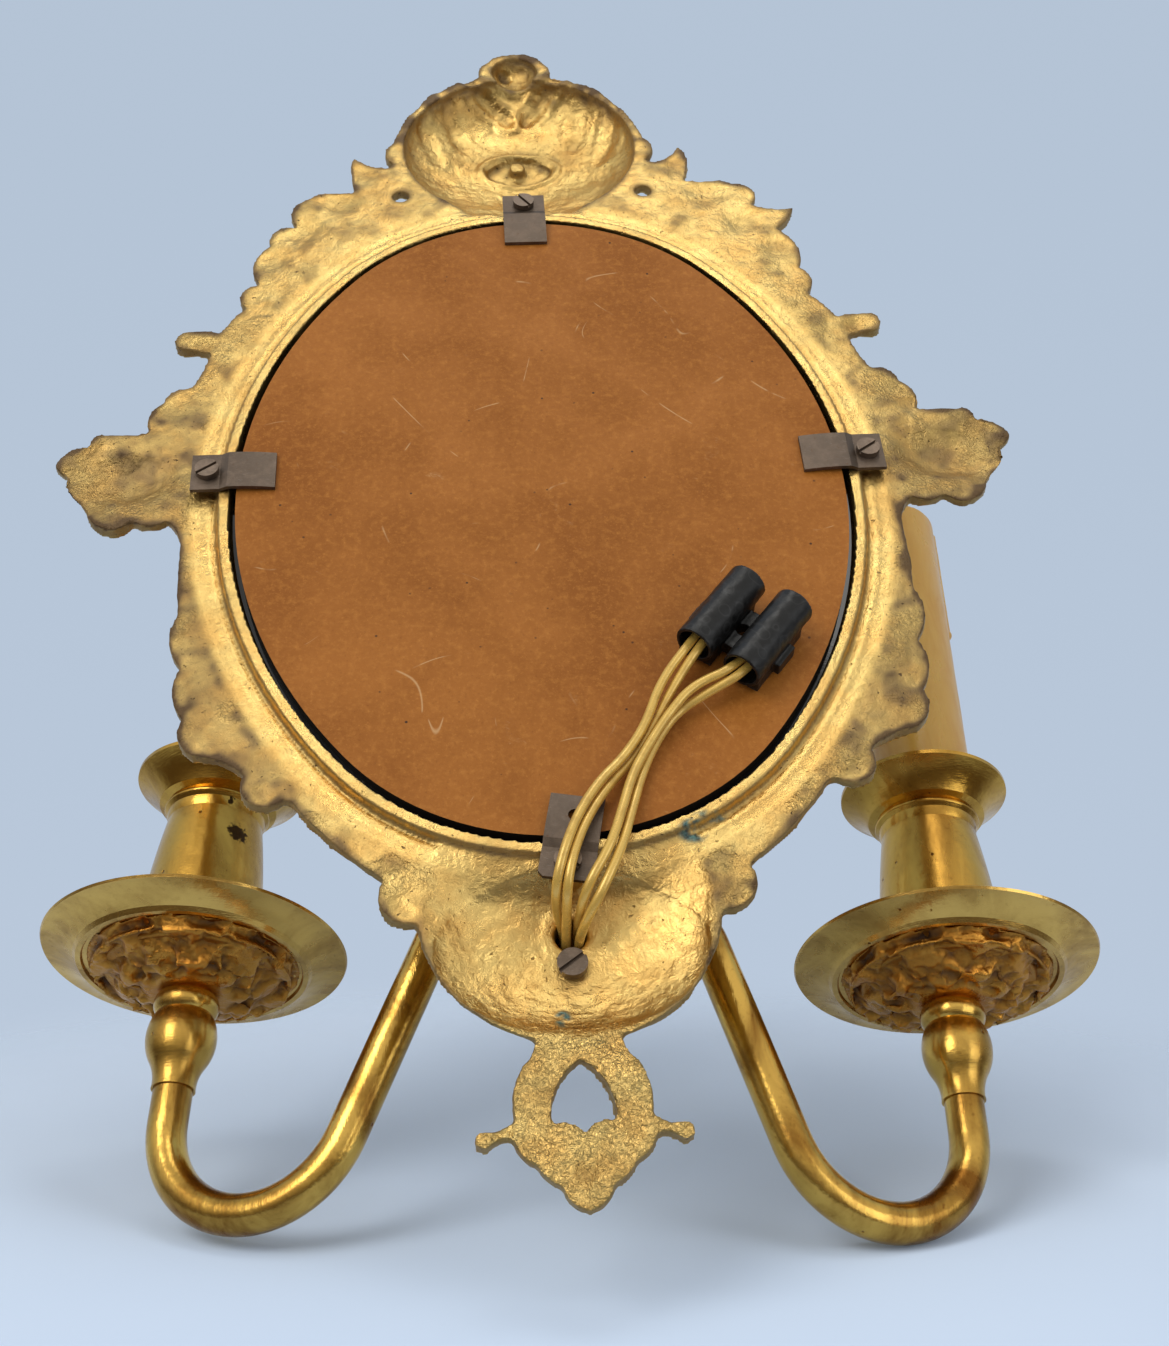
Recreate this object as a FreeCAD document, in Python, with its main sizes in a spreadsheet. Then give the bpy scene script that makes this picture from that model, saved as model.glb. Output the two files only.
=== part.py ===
"""Girandole mirror: an oval wall mirror in a hollow-backed brass casting, with two
electric candle arms.

Millimetres.  +Z is up on the wall, the mirror looks along -Y, and the wall is on the +Y
side.  The origin is the middle of the backing board's rear face, which is flush with the
raised ring of the casting.  "right" and "left" are those of somebody facing the glass, so
right is +X.  Depths in the casting are counted forward from the rear plane, along -Y.
"""
import FreeCAD
import Part

import math
import os

V = FreeCAD.Vector
doc = FreeCAD.newDocument("girandole_mirror")

# --------------------------------------------------------------------------- sizes

SIZES = [
    # the oval stack: board, glass and the rebate that holds them
    ("board_half_width", 74.6),
    ("board_half_height", 101.6),
    ("board_end_radius", 60.0),
    ("board_thickness", 3.2),
    ("glass_margin", 1.0),
    ("glass_thickness", 3.0),
    ("rebate_margin", 1.6),
    ("sight_overlap", 3.0),
    # the hollow moulding round the oval, measured outward from the board's edge
    ("ring_width", 2.6),
    ("trough_width", 6.0),
    ("trough_depth", 8.0),
    ("flange_width", 1.8),
    ("flange_depth", 1.8),
    ("moulding_depth", 12.6),
    ("leaf_thickness", 2.6),
    # the crest shell and its bud
    ("crest_height", 38.4),
    ("crest_half_width", 36.6),
    ("crest_half_height", 36.0),
    ("crest_bulge", 15.0),
    ("crest_wall", 2.6),
    ("bud_height", 76.6),
    ("bud_radius", 9.6),
    ("bud_bulge", 8.0),
    ("eye_height", 42.5),
    ("eye_half_width", 10.0),
    ("eye_half_height", 6.0),
    ("eye_depth", 15.3),
    ("peg_radius", 2.3),
    ("peg_length", 3.4),
    ("flute_count", 7),
    ("flute_spread", 24.0),
    ("flute_half_length", 11.0),
    ("flute_half_width", 3.4),
    ("flute_depth", 1.2),
    # the ears at the two sides
    ("ear_reach", 27.4),
    ("ear_height", 9.4),
    ("ear_half_width", 15.0),
    ("ear_half_height", 11.0),
    ("ear_bulge", 7.0),
    # the boss at the foot
    ("boss_drop", 15.4),
    ("boss_radius", 31.2),
    ("boss_bulge", 11.5),
    ("dish_drop", 25.4),
    ("dish_half_width", 28.2),
    ("dish_half_height", 18.8),
    ("dish_depth", 7.5),
    ("lead_hole_drop", 19.0),
    ("lead_hole_radius", 3.4),
    ("hub_screw_pitch", 6.8),
    ("hub_seat_depth", 14.0),
    ("hub_seat_radius", 11.0),
    # the turning clips and their screws
    ("clip_width", 11.7),
    ("clip_inner_length", 16.6),
    ("clip_outer_length", 4.0),
    ("clip_thickness", 1.0),
    ("clip_bow", 0.8),
    ("clip_lift", 0.15),
    ("clip_side_height", 7.2),
    ("clip_foot_turn", 11.0),
    ("clip_foot_chamfer", 1.1),
    ("clip_seat", 7.3),
    ("clip_screw_radius", 1.4),
    ("clip_head_radius", 2.9),
    ("clip_head_height", 1.6),
    ("screw_clearance", 0.2),
    ("running_gap", 0.1),
    # the hub that carries both arms
    ("arm_turn", 4.0),
    ("hub_drop", 21.9),
    ("hub_length", 22.0),
    ("hub_radius", 11.0),
    ("hub_screw_radius", 2.0),
    ("hub_head_radius", 3.2),
    ("socket_radius", 5.8),
    ("socket_rise", 11.0),
    ("socket_depth", 5.4),
    ("finial_length", 7.0),
    # the arms
    ("tube_radius", 4.5),
    ("tube_bore_radius", 3.5),
    ("neck_radius", 12.8),
    ("neck_out", 21.4),
    ("neck_height", -111.2),
    ("bend_radius", 23.3),
    ("bend_height", -141.0),
    ("candle_reach", 89.4),
    ("candle_forward", 60.0),
    # the candle stack, from the ferrule up
    ("pan_height", -101.6),
    ("pan_radius", 36.0),
    ("pan_rise", 3.0),
    ("pan_thickness", 1.0),
    ("rosette_radius", 25.2),
    ("rosette_depth", 8.0),
    ("rosette_lobes", 9),
    ("collar_radius", 7.6),
    ("collar_length", 5.1),
    ("ferrule_length", 18.3),
    ("ferrule_radius", 8.1),
    ("nozzle_height", 49.8),
    ("nozzle_foot_radius", 14.8),
    ("nozzle_waist_radius", 11.7),
    ("nozzle_neck_radius", 12.7),
    ("nozzle_rim_radius", 20.8),
    ("nozzle_wall", 1.4),
    ("ledge_height", 44.6),
    ("nipple_radius", 5.0),
    ("nipple_bore_radius", 3.4),
    ("nut_width", 14.0),
    ("nut_height", 4.0),
    ("sleeve_radius", 12.8),
    ("sleeve_wall", 1.1),
    ("sleeve_length", 99.0),
    ("holder_radius", 10.9),
    ("holder_length", 32.0),
    ("lamp_bore_radius", 7.0),
    ("lamp_bore_length", 22.0),
    ("contact_seat_radius", 4.7),
    ("contact_seat_depth", 2.0),
    ("stem_radius", 4.0),
    # the wiring
    ("lead_radius", 1.05),
    ("block_pitch", 12.4),
    ("pole_radius", 4.75),
    ("pole_length", 23.4),
    ("pole_bore_radius", 3.5),
    ("pole_mouth_radius", 3.8),
    ("pole_mouth_length", 4.0),
    ("insert_radius", 3.4),
    ("insert_bore_radius", 2.4),
    ("insert_length", 15.0),
    ("block_turn", 128.3),
    ("block_across", -43.2),
    ("block_height", -51.8),
    ("block_standoff", 6.4),
]

sheet = doc.addObject("Spreadsheet::Sheet", "sizes")
for row, (alias, value) in enumerate(SIZES, start=1):
    sheet.set("A%d" % row, alias)
    sheet.set("B%d" % row, str(value))
    sheet.setAlias("B%d" % row, alias)
doc.recompute()


def size(alias):
    """A driving dimension, read from the sheet."""
    return float(sheet.get(alias))


# ------------------------------------------------------------------- drawing helpers

def new_body(label):
    """An empty body with its own label."""
    body = doc.addObject("PartDesign::Body", label)
    body.Label = label
    body.AllowCompound = True
    return body


def new_sketch(body, plane, shift=(0, 0, 0)):
    """A sketch on one of the body's origin planes, shifted in the sketch's own axes."""
    sketch = body.newObject("Sketcher::SketchObject", body.Name + "_sketch")
    origin = [f for f in body.Origin.OriginFeatures if f.Role == plane][0]
    sketch.AttachmentSupport = [(origin, "")]
    sketch.MapMode = "FlatFace"
    sketch.AttachmentOffset = FreeCAD.Placement(V(*shift), FreeCAD.Rotation())
    return sketch


def arc_or_line(start, end, bulge):
    """One edge; a positive bulge lies to the left of the way from start to end."""
    if abs(bulge) < 1e-6:
        return Part.LineSegment(V(*start, 0), V(*end, 0))
    dx, dy = end[0] - start[0], end[1] - start[1]
    length = math.hypot(dx, dy)
    middle = V((start[0] + end[0]) / 2 - dy / length * bulge,
               (start[1] + end[1]) / 2 + dx / length * bulge, 0)
    return Part.ArcOfCircle(V(*start, 0), middle, V(*end, 0))


def draw(sketch, vertices):
    """A closed outline through (x, y) or (x, y, bulge of the edge that follows)."""
    edges = []
    for here, there in zip(vertices, vertices[1:] + vertices[:1]):
        bulge = here[2] if len(here) > 2 else 0.0
        edges.append(arc_or_line(here[:2], there[:2], bulge))
    sketch.addGeometry(edges, False)


def draw_circle(sketch, x, y, radius):
    """A full circle."""
    sketch.addGeometry(Part.Circle(V(x, y, 0), V(0, 0, 1), radius), False)


def feature(body, kind, sketch, **values):
    """A sketch-based feature; text values become expressions."""
    made = body.newObject("PartDesign::" + kind, body.Name + "_" + kind.lower())
    made.Refine = False
    made.Profile = sketch
    for name, value in values.items():
        if isinstance(value, str) and name in ("Length", "Angle", "Length2"):
            made.setExpression(name, value)
        else:
            setattr(made, name, value)
    sketch.Visibility = False
    body.Tip = made
    return made


def solid(body, kind, at, turn=None, **values):
    """An additive or subtractive primitive whose sizes are expressions."""
    made = body.newObject("PartDesign::" + kind, body.Name + "_" + kind.lower())
    made.Refine = False
    made.Placement = FreeCAD.Placement(V(*at), turn or FreeCAD.Rotation())
    for name, value in values.items():
        if isinstance(value, str):
            made.setExpression(name, value)
        else:
            setattr(made, name, value)
    body.Tip = made
    return made


FORWARD = FreeCAD.Rotation(V(1, 0, 0), 90)      # turns a primitive's axis to -Y
BACKWARD = FreeCAD.Rotation(V(1, 0, 0), -90)    # turns a primitive's axis to +Y
SIDEWAYS = FreeCAD.Rotation(V(0, 1, 0), 90)     # turns a primitive's axis to +X


def turned(label, profile, placement):
    """A lathe-turned piece: (radius, height) points spun round the Z axis."""
    body = new_body(label)
    sketch = new_sketch(body, "XZ_Plane")
    draw(sketch, profile)
    feature(body, "Revolution", sketch, ReferenceAxis=(sketch, ["V_Axis"]), Angle=360.0)
    body.Placement = placement
    return body


# ------------------------------------------------------------------- the oval's arcs

half_width = size("board_half_width")
half_height = size("board_half_height")
end_radius = size("board_end_radius")
end_centre = half_height - end_radius
side_radius = ((half_width ** 2 + end_centre ** 2 - end_radius ** 2)
               / (2 * (half_width - end_radius)))
side_centre = side_radius - half_width
side_half_angle = math.degrees(math.atan2(end_centre, side_centre))


def oval_edges(margin):
    """The four tangent arcs of the oval that lies a margin outside the board."""
    edges = []
    a = math.radians(side_half_angle)
    for x, z, radius, start, end in (
            (-side_centre, 0, side_radius + margin, -a, a),
            (0, end_centre, end_radius + margin, a, math.pi - a),
            (side_centre, 0, side_radius + margin, math.pi - a, math.pi + a),
            (0, -end_centre, end_radius + margin, math.pi + a, 2 * math.pi - a)):
        circle = Part.Circle(V(x, z, 0), V(0, 0, 1), radius)
        edges.append(Part.ArcOfCircle(circle, start, end))
    return edges


def rim_point(degrees, out):
    """A point beyond the board's edge: its bearing from the centre and its distance."""
    c, s = math.cos(math.radians(degrees)), math.sin(math.radians(degrees))
    span = math.hypot(side_centre, end_centre)
    on_side = abs(s) * end_radius * side_centre < abs(c) * end_centre * (span + end_radius)
    x0, z0, radius = ((-side_centre, 0.0, side_radius) if on_side else
                      (0.0, end_centre if s > 0 else -end_centre, end_radius))
    along = c * x0 + s * z0
    reach = along + math.sqrt(radius ** 2 - (x0 ** 2 + z0 ** 2 - along ** 2))
    return ((reach + out) * c, (reach + out) * s)


# ------------------------------------------------------------------- the frame casting

rebate_edge = size("rebate_margin")
ring_edge = rebate_edge + size("ring_width")
trough_edge = ring_edge + size("trough_width")
flange_edge = trough_edge + size("flange_width")
rebate_depth = size("board_thickness") + size("glass_thickness")
flange_depth = size("flange_depth")
leaf_back = flange_depth
sight_edge = -size("sight_overlap")


def crest_half(side):
    """Bud, shell and upper leaf, as (x, height over the board's top, bulge)."""
    leaf = 0.8 if side > 0 else -0.8
    return [
        (0.0, 85.8, 1.5),
        (8.2, 82.2, 1.6),
        (10.4, 74.0, 0.5),
        (19.5, 69.4, 1.2),
        (28.6, 61.0, 1.2),
        (37.2, 41.3, 2.4),
        (36.9, 31.8, -0.8),
        (40.0, 29.8, -0.9),
        (47.5 + leaf, 35.8 - leaf, 0.8),
        (49.0, 29.3, 0.4),
    ]


def leaf_half(side):
    """Leaf lobes down the shoulder, as (bearing, distance out, bulge)."""
    if side > 0:
        return [
            (68.3, 32.4, 0.6),
            (66.0, 36.2, 1.0),
            (62.6, 38.9, 3.5),
            (59.0, 31.2, 3.5),
            (53.9, 31.7, 3.3),
            (47.9, 23.2, 3.5),
            (43.2, 20.8, 0.6),
        ]
    return [
        (69.0, 34.0, 0.5),
        (67.2, 35.8, 1.2),
        (63.0, 40.5, 4.0),
        (59.5, 36.1, -0.6),
        (54.5, 43.5, 1.0),
        (54.5, 33.1, 3.0),
        (47.5, 26.2, 2.4),
        (43.2, 20.8, 0.6),
    ]


def side_half():
    """Scroll, ear and fringe, as (x beyond the board's side, z, bulge)."""
    return [
        (7.9, 61.4, 0.4),
        (15.4, 62.4, 4.0),
        (15.9, 55.4, -0.6),
        (9.9, 53.6, -0.4),
        (13.9, 40.9, 1.8),
        (20.9, 35.4, 1.9),
        (23.4, 25.4, -0.8),
        (35.4, 24.9, 0.8),
        (37.9, 20.9, 1.5),
        (45.7, 14.4, 1.0),
        (39.9, 10.7, 1.2),
        (36.4, -0.8, 1.6),
        (29.9, -8.3, 0.8),
        (24.9, -5.3, 1.8),
        (16.4, -5.8, -0.6),
        (12.8, -13.0, 0.3),
        (11.7, -35.6, 2.2),
        (9.9, -51.1, 2.0),
        (8.4, -65.6, 2.0),
        (5.4, -75.8, -1.0),
    ]


def foot_half():
    """Lower knob, boss and tail, as (x, depth below the board's foot, bulge)."""
    return [
        (68.5, -20.3, 4.6),
        (60.0, -12.8, -0.8),
        (56.5, -10.3, 0.8),
        (38.3, 7.7, 3.6),
        (32.5, 18.4, -0.5),
        (31.2, 19.4, 5.0),
        (8.5, 44.7, -0.8),
        (11.5, 51.0, 1.0),
        (13.2, 62.0, -0.6),
        (19.3, 63.6, 2.2),
        (18.0, 66.9, -0.8),
        (13.5, 65.9, 0.9),
        (9.5, 70.9, 0.6),
        (5.0, 75.2, 0.9),
    ]


def half_outline(side):
    """One half of the casting's outline, from the bud's top down to the tail."""
    points = [(x, half_height + up, bulge) for x, up, bulge in crest_half(side)]
    for bearing, out, bulge in leaf_half(side):
        points.append(rim_point(bearing, out) + (bulge,))
    points += [(half_width + out, z * half_height / 101.6, bulge)
               for out, z, bulge in side_half()]
    points += [(x * half_width / 74.6 if down < 12 else x, -half_height - down, bulge)
               for x, down, bulge in foot_half()]
    return points


def whole_outline():
    """The closed outline, clockwise seen from the front."""
    right = half_outline(1)
    left = half_outline(-1)
    tail_tip = (0.0, -half_height - 80.2, 1.0)
    right[-1] = right[-1][:2] + (1.0,)
    mirrored = [(-left[k + 1][0], left[k + 1][1], left[k][2])
                for k in range(len(left) - 2, -1, -1)]
    return right + [tail_tip] + mirrored


def moulding_profile():
    """The hollow moulding's section, as (distance out, y, bulge)."""
    front = -size("moulding_depth")
    middle = (ring_edge + trough_edge) / 2
    half_trough = size("trough_width") / 2 - 0.5
    return [
        (sight_edge, -rebate_depth),
        (rebate_edge, -rebate_depth),
        (rebate_edge, 0.0),
        (ring_edge, 0.0),
        (middle - half_trough, -flange_depth, 0.0),
        (middle - half_trough, front + 8.2, 2.4),
        (middle + half_trough, front + 8.2),
        (trough_edge, -flange_depth),
        (flange_edge, -flange_depth),
        (flange_edge, -flange_depth - size("leaf_thickness"), 1.2),
        (middle - 1.0, front, 1.4),
        (0.4, front + 3.4, 0.4),
        (sight_edge, front + 4.0),
    ]


def add_moulding(body, profile):
    """Spins a section along the four arcs of the oval."""
    for sign in (1, -1):
        sketch = new_sketch(body, "XY_Plane", (-sign * side_centre, 0, 0))
        points = [(sign * (side_radius + p[0]), p[1]) + tuple(sign * b for b in p[2:])
                  for p in profile]
        draw(sketch, points)
        feature(body, "Revolution", sketch, ReferenceAxis=(sketch, ["V_Axis"]),
                Angle=2 * side_half_angle, Midplane=True)
        sketch = new_sketch(body, "YZ_Plane", (0, sign * end_centre, 0))
        points = [(p[1], sign * (end_radius + p[0])) + tuple(-sign * b for b in p[2:])
                  for p in profile]
        draw(sketch, points)
        feature(body, "Revolution", sketch, ReferenceAxis=(sketch, ["H_Axis"]),
                Angle=180 - 2 * side_half_angle, Midplane=True)


def half_dome(body, kind, at, across, up, deep):
    """The front half of an ellipsoid: its flat side faces the wall."""
    solid(body, kind, at, FORWARD, Angle1=0.0, Angle2=90.0,
          Radius1=deep, Radius2=across, Radius3=up)


crest_z = half_height + size("crest_height")
eye_z = half_height + size("eye_height")
bud_z = half_height + size("bud_height")
dish_z = -half_height - size("dish_drop")
lead_hole_z = -half_height - size("lead_hole_drop")
hub_screw_z = lead_hole_z - size("hub_screw_pitch")
hub_z = -half_height - size("hub_drop")


def carve_flutes(body):
    """Shallow flutes that spread over the shell's front, each a long thin ellipsoid."""
    across, up, deep = (size("crest_half_width"), size("crest_half_height"),
                        size("crest_bulge"))
    count = int(size("flute_count"))
    middle = 0.62 * up
    for number in range(count):
        fan = (number - (count - 1) / 2) * size("flute_spread")
        x, z = (middle * math.sin(math.radians(fan)), middle * math.cos(math.radians(fan)))
        swell = math.sqrt(1 - (x / across) ** 2 - (z / up) ** 2)
        lean = math.degrees(math.atan(deep * middle / up ** 2 / swell))
        turn = FreeCAD.Rotation(V(0, 1, 0), fan).multiply(
            FreeCAD.Rotation(V(1, 0, 0), -lean))
        solid(body, "SubtractiveEllipsoid", (x, -leaf_back - deep * swell, crest_z + z), turn,
              Radius1="sizes.flute_half_length", Radius2="sizes.flute_half_width",
              Radius3="sizes.flute_depth")


def clip_stations():
    """The four clips: name, screw position (x, z) and turn of the strip about +Y."""
    seat = size("clip_seat")
    side = size("clip_side_height")
    reach = math.sqrt((side_radius + seat) ** 2 - side ** 2) - side_centre
    return [
        ("clip_top", (0.0, half_height + seat), -90.0),
        ("clip_foot", (0.0, -half_height - seat), 90.0 + size("clip_foot_turn")),
        ("clip_right", (reach, side), 180.0),
        ("clip_left", (-reach, side), 0.0),
    ]


def make_casting():
    """The frame: leafed flange, hollow moulding, shell crest, ears, boss and tail."""
    body = new_body("frame_casting")
    plate = new_sketch(body, "XZ_Plane", (0, 0, leaf_back))
    draw(plate, whole_outline())
    plate.addGeometry(oval_edges(trough_edge + 0.4), False)
    feature(body, "Pad", plate, Length="sizes.leaf_thickness")

    half_dome(body, "AdditiveEllipsoid", (0, -leaf_back, crest_z),
              "sizes.crest_half_width", "sizes.crest_half_height", "sizes.crest_bulge")
    half_dome(body, "AdditiveEllipsoid", (0, -leaf_back, bud_z),
              "sizes.bud_radius", "sizes.bud_radius", "sizes.bud_bulge")
    half_dome(body, "AdditiveEllipsoid", (0, -leaf_back, -half_height - size("boss_drop")),
              "sizes.boss_radius", "sizes.boss_radius", "sizes.boss_bulge")
    for sign in (1, -1):
        at = (sign * (half_width + size("ear_reach")), -leaf_back, size("ear_height"))
        half_dome(body, "AdditiveEllipsoid", at,
                  "sizes.ear_half_width", "sizes.ear_half_height", "sizes.ear_bulge")

    add_moulding(body, moulding_profile())

    for sign in (1, -1):
        at = (sign * (half_width + size("ear_reach")), -leaf_back, size("ear_height"))
        half_dome(body, "SubtractiveEllipsoid", at, "sizes.ear_half_width - sizes.crest_wall",
                  "sizes.ear_half_height - sizes.crest_wall",
                  "sizes.ear_bulge - sizes.crest_wall")
    half_dome(body, "SubtractiveEllipsoid", (0, -leaf_back, crest_z + 0.9),
              "sizes.crest_half_width - sizes.crest_wall",
              "sizes.crest_half_height - sizes.crest_wall",
              "sizes.crest_bulge - sizes.crest_wall")
    half_dome(body, "SubtractiveEllipsoid", (0, -leaf_back, bud_z + 0.5),
              "sizes.bud_radius - sizes.crest_wall", "sizes.bud_radius - sizes.crest_wall",
              "sizes.bud_bulge - sizes.crest_wall")
    half_dome(body, "SubtractiveEllipsoid", (0, -leaf_back, dish_z),
              "sizes.dish_half_width", "sizes.dish_half_height", "sizes.dish_depth")

    # the almond eye sunk in the shell's hollow, with a peg left standing in it
    across, up = size("eye_half_width"), size("eye_half_height")
    eye = new_sketch(body, "XZ_Plane")
    draw(eye, [(-across, eye_z, -up), (across, eye_z, -up)])
    feature(body, "Pocket", eye, Length="sizes.eye_depth", Reversed=True)
    solid(body, "AdditiveCylinder", (0.5, size("peg_length") - size("eye_depth"), eye_z + 0.5),
          FORWARD, Radius="sizes.peg_radius", Height="sizes.peg_length + 0.3")
    carve_flutes(body)

    # seats: four pads for the clips and one for the arm hub
    for _, (x, z), _ in clip_stations():
        solid(body, "AdditiveCylinder", (x, 0, z), FORWARD, Radius=3.6, Height=9.5)
    dish_floor = flange_depth + size("dish_depth")
    solid(body, "AdditiveCylinder", (0, -dish_floor, hub_z), FORWARD,
          Radius="sizes.hub_seat_radius", Height=size("hub_seat_depth") - dish_floor)

    # the oval rebate and sight opening, cleared right through
    rebate = new_sketch(body, "XZ_Plane")
    rebate.addGeometry(oval_edges(rebate_edge), False)
    feature(body, "Pocket", rebate, Length=rebate_depth, Reversed=True)
    sight = new_sketch(body, "XZ_Plane")
    sight.addGeometry(oval_edges(sight_edge), False)
    feature(body, "Pocket", sight, Length=60.0, Reversed=True)

    # pierced work: heart in the tail, eyelets beside the shell
    pierced = new_sketch(body, "XZ_Plane")
    top, foot = half_height, -half_height
    draw(pierced, [(0.0, foot - 50.0, 1.4), (6.2, foot - 60.5, 0.3), (5.6, foot - 62.8, -1.2),
                   (0.0, foot - 65.4, -1.2), (-5.6, foot - 62.8, 0.3),
                   (-6.2, foot - 60.5, 1.4)])
    draw_circle(pierced, 34.8, top + 16.4, 2.4)
    draw_circle(pierced, -34.8, top + 16.4, 2.4)
    feature(body, "Pocket", pierced, Length=60.0, Reversed=True)

    # screw and lead holes
    for _, (x, z), _ in clip_stations():
        solid(body, "SubtractiveCylinder", (x, 0, z), FORWARD,
              Radius="sizes.clip_screw_radius + 0.05", Height=8.0)
    for z, radius in ((lead_hole_z, "sizes.lead_hole_radius"),
                      (hub_screw_z, "sizes.hub_screw_radius + sizes.screw_clearance")):
        solid(body, "SubtractiveCylinder", (0, 0, z), FORWARD, Radius=radius, Height=40.0)
    solid(body, "SubtractiveCylinder", (0, -7.0, hub_screw_z), FORWARD,
          Radius="sizes.hub_head_radius + 0.3", Height=dish_floor - 7.0)
    return body


# ------------------------------------------------------------------- glass, board, clips

def make_glass_and_board():
    """The mirror glass on the rebate's ledge and the board that backs it."""
    board_depth = size("board_thickness")
    glass = new_body("mirror_glass")
    sketch = new_sketch(glass, "XZ_Plane", (0, 0, board_depth))
    sketch.addGeometry(oval_edges(size("glass_margin")), False)
    feature(glass, "Pad", sketch, Length="sizes.glass_thickness")
    board = new_body("backing_board")
    sketch = new_sketch(board, "XZ_Plane")
    sketch.addGeometry(oval_edges(0.0), False)
    feature(board, "Pad", sketch, Length="sizes.board_thickness")


def make_clip(label, at, turn):
    """A bowed spring strip that turns on its screw and bears on the board's edge."""
    lift, bow, thick = size("clip_lift"), size("clip_bow"), size("clip_thickness")
    inner, outer = size("clip_inner_length"), size("clip_outer_length")
    level = size("clip_head_radius") + 0.2
    crease = size("clip_seat") - size("rebate_margin") - 0.7
    body = new_body(label)
    side_view = new_sketch(body, "XY_Plane")
    draw(side_view, [(-outer, lift), (level, lift), (crease, lift + bow, 0.25),
                     (inner, lift), (inner, lift + thick, -0.25),
                     (crease, lift + bow + thick), (level, lift + thick),
                     (-outer, lift + thick)])
    feature(body, "Pad", side_view, Length="sizes.clip_width", Midplane=True)
    solid(body, "SubtractiveCylinder", (0, -1, 0), BACKWARD,
          Radius="sizes.clip_screw_radius + sizes.screw_clearance", Height=6.0)
    if label == "clip_foot":
        solid(body, "SubtractiveCylinder", (inner - 5.2, -1, 0), BACKWARD,
              Radius=1.5, Height=6.0)
        # its outer corners are cut off, so it swings clear of the leads
        side, cut = size("clip_width") / 2, size("clip_foot_chamfer")
        corners = new_sketch(body, "XZ_Plane")
        for sign in (1, -1):
            draw(corners, [(-outer - 1, sign * (side - cut - 1)), (-outer - 1, sign * (side + 1)),
                           (-outer + cut + 1, sign * (side + 1))])
        feature(body, "Pocket", corners, Length=4.0)
    body.Placement = FreeCAD.Placement(V(at[0], 0, at[1]),
                                       FreeCAD.Rotation(V(0, 1, 0), -turn))
    return body


def make_clip_screws():
    """Four slotted screws, one to a clip: separate solids in one piece of the list."""
    under_head = size("clip_lift") + size("clip_thickness") + size("running_gap")
    one = new_body("clip_screw")
    solid(one, "AdditiveCylinder", (0, -6.0, 0), BACKWARD,
          Radius="sizes.clip_screw_radius", Height=6.5 + under_head)
    solid(one, "AdditiveCylinder", (0, under_head, 0), BACKWARD,
          Radius="sizes.clip_head_radius", Height="sizes.clip_head_height")
    head_top = under_head + size("clip_head_height")
    solid(one, "SubtractiveBox", (-4.0, head_top - 0.8, -0.4),
          Length=8.0, Width=1.0, Height=0.8)
    doc.recompute()
    screws = []
    for name, (x, z), turn in clip_stations():
        screw = one.Shape.copy()
        screw.Placement = FreeCAD.Placement(V(x, 0, z),
                                            FreeCAD.Rotation(V(0, 1, 0), 35.0 + turn))
        screws.append(screw)
    return group_of("clip_screws", screws, one)


def group_of(label, shapes, pattern):
    """Several separate solids under one label."""
    pattern.Visibility = False
    pattern.Label = label + "_pattern"
    made = doc.addObject("Part::Feature", label)
    made.Label = label
    made.Shape = Part.makeCompound(shapes)
    return made


# ------------------------------------------------------------------- hub and arms

# the whole arm unit stands a few degrees round on its screw, as found
arm_frame = FreeCAD.Placement(V(0, 0, 0), FreeCAD.Rotation(V(0, 1, 0), -size("arm_turn")),
                              V(0, 0, hub_screw_z))
hub_back = -size("hub_seat_depth")
socket_out = size("neck_out") - size("neck_radius")
plan_centre = hub_back - 12.0
plan_angle = math.degrees(math.atan2(-size("candle_forward") - plan_centre,
                                     size("candle_reach")))
candle_out = math.hypot(size("candle_reach"), -size("candle_forward") - plan_centre)
socket_floor = size("neck_height") - 1.3 - size("socket_depth")
socket_top = size("neck_height") - 1.3
pan_z = size("pan_height")
ferrule_z = pan_z - size("rosette_depth") - size("collar_length") - size("ferrule_length")
tube_end = ferrule_z + 4.5


def arm_plane(side):
    """The upright plane of one arm: its X axis runs outward, its Z axis up."""
    angle = plan_angle if side > 0 else 180.0 - plan_angle
    return arm_frame.multiply(FreeCAD.Placement(V(0, plan_centre, 0),
                                                FreeCAD.Rotation(V(0, 0, 1), angle)))


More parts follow.
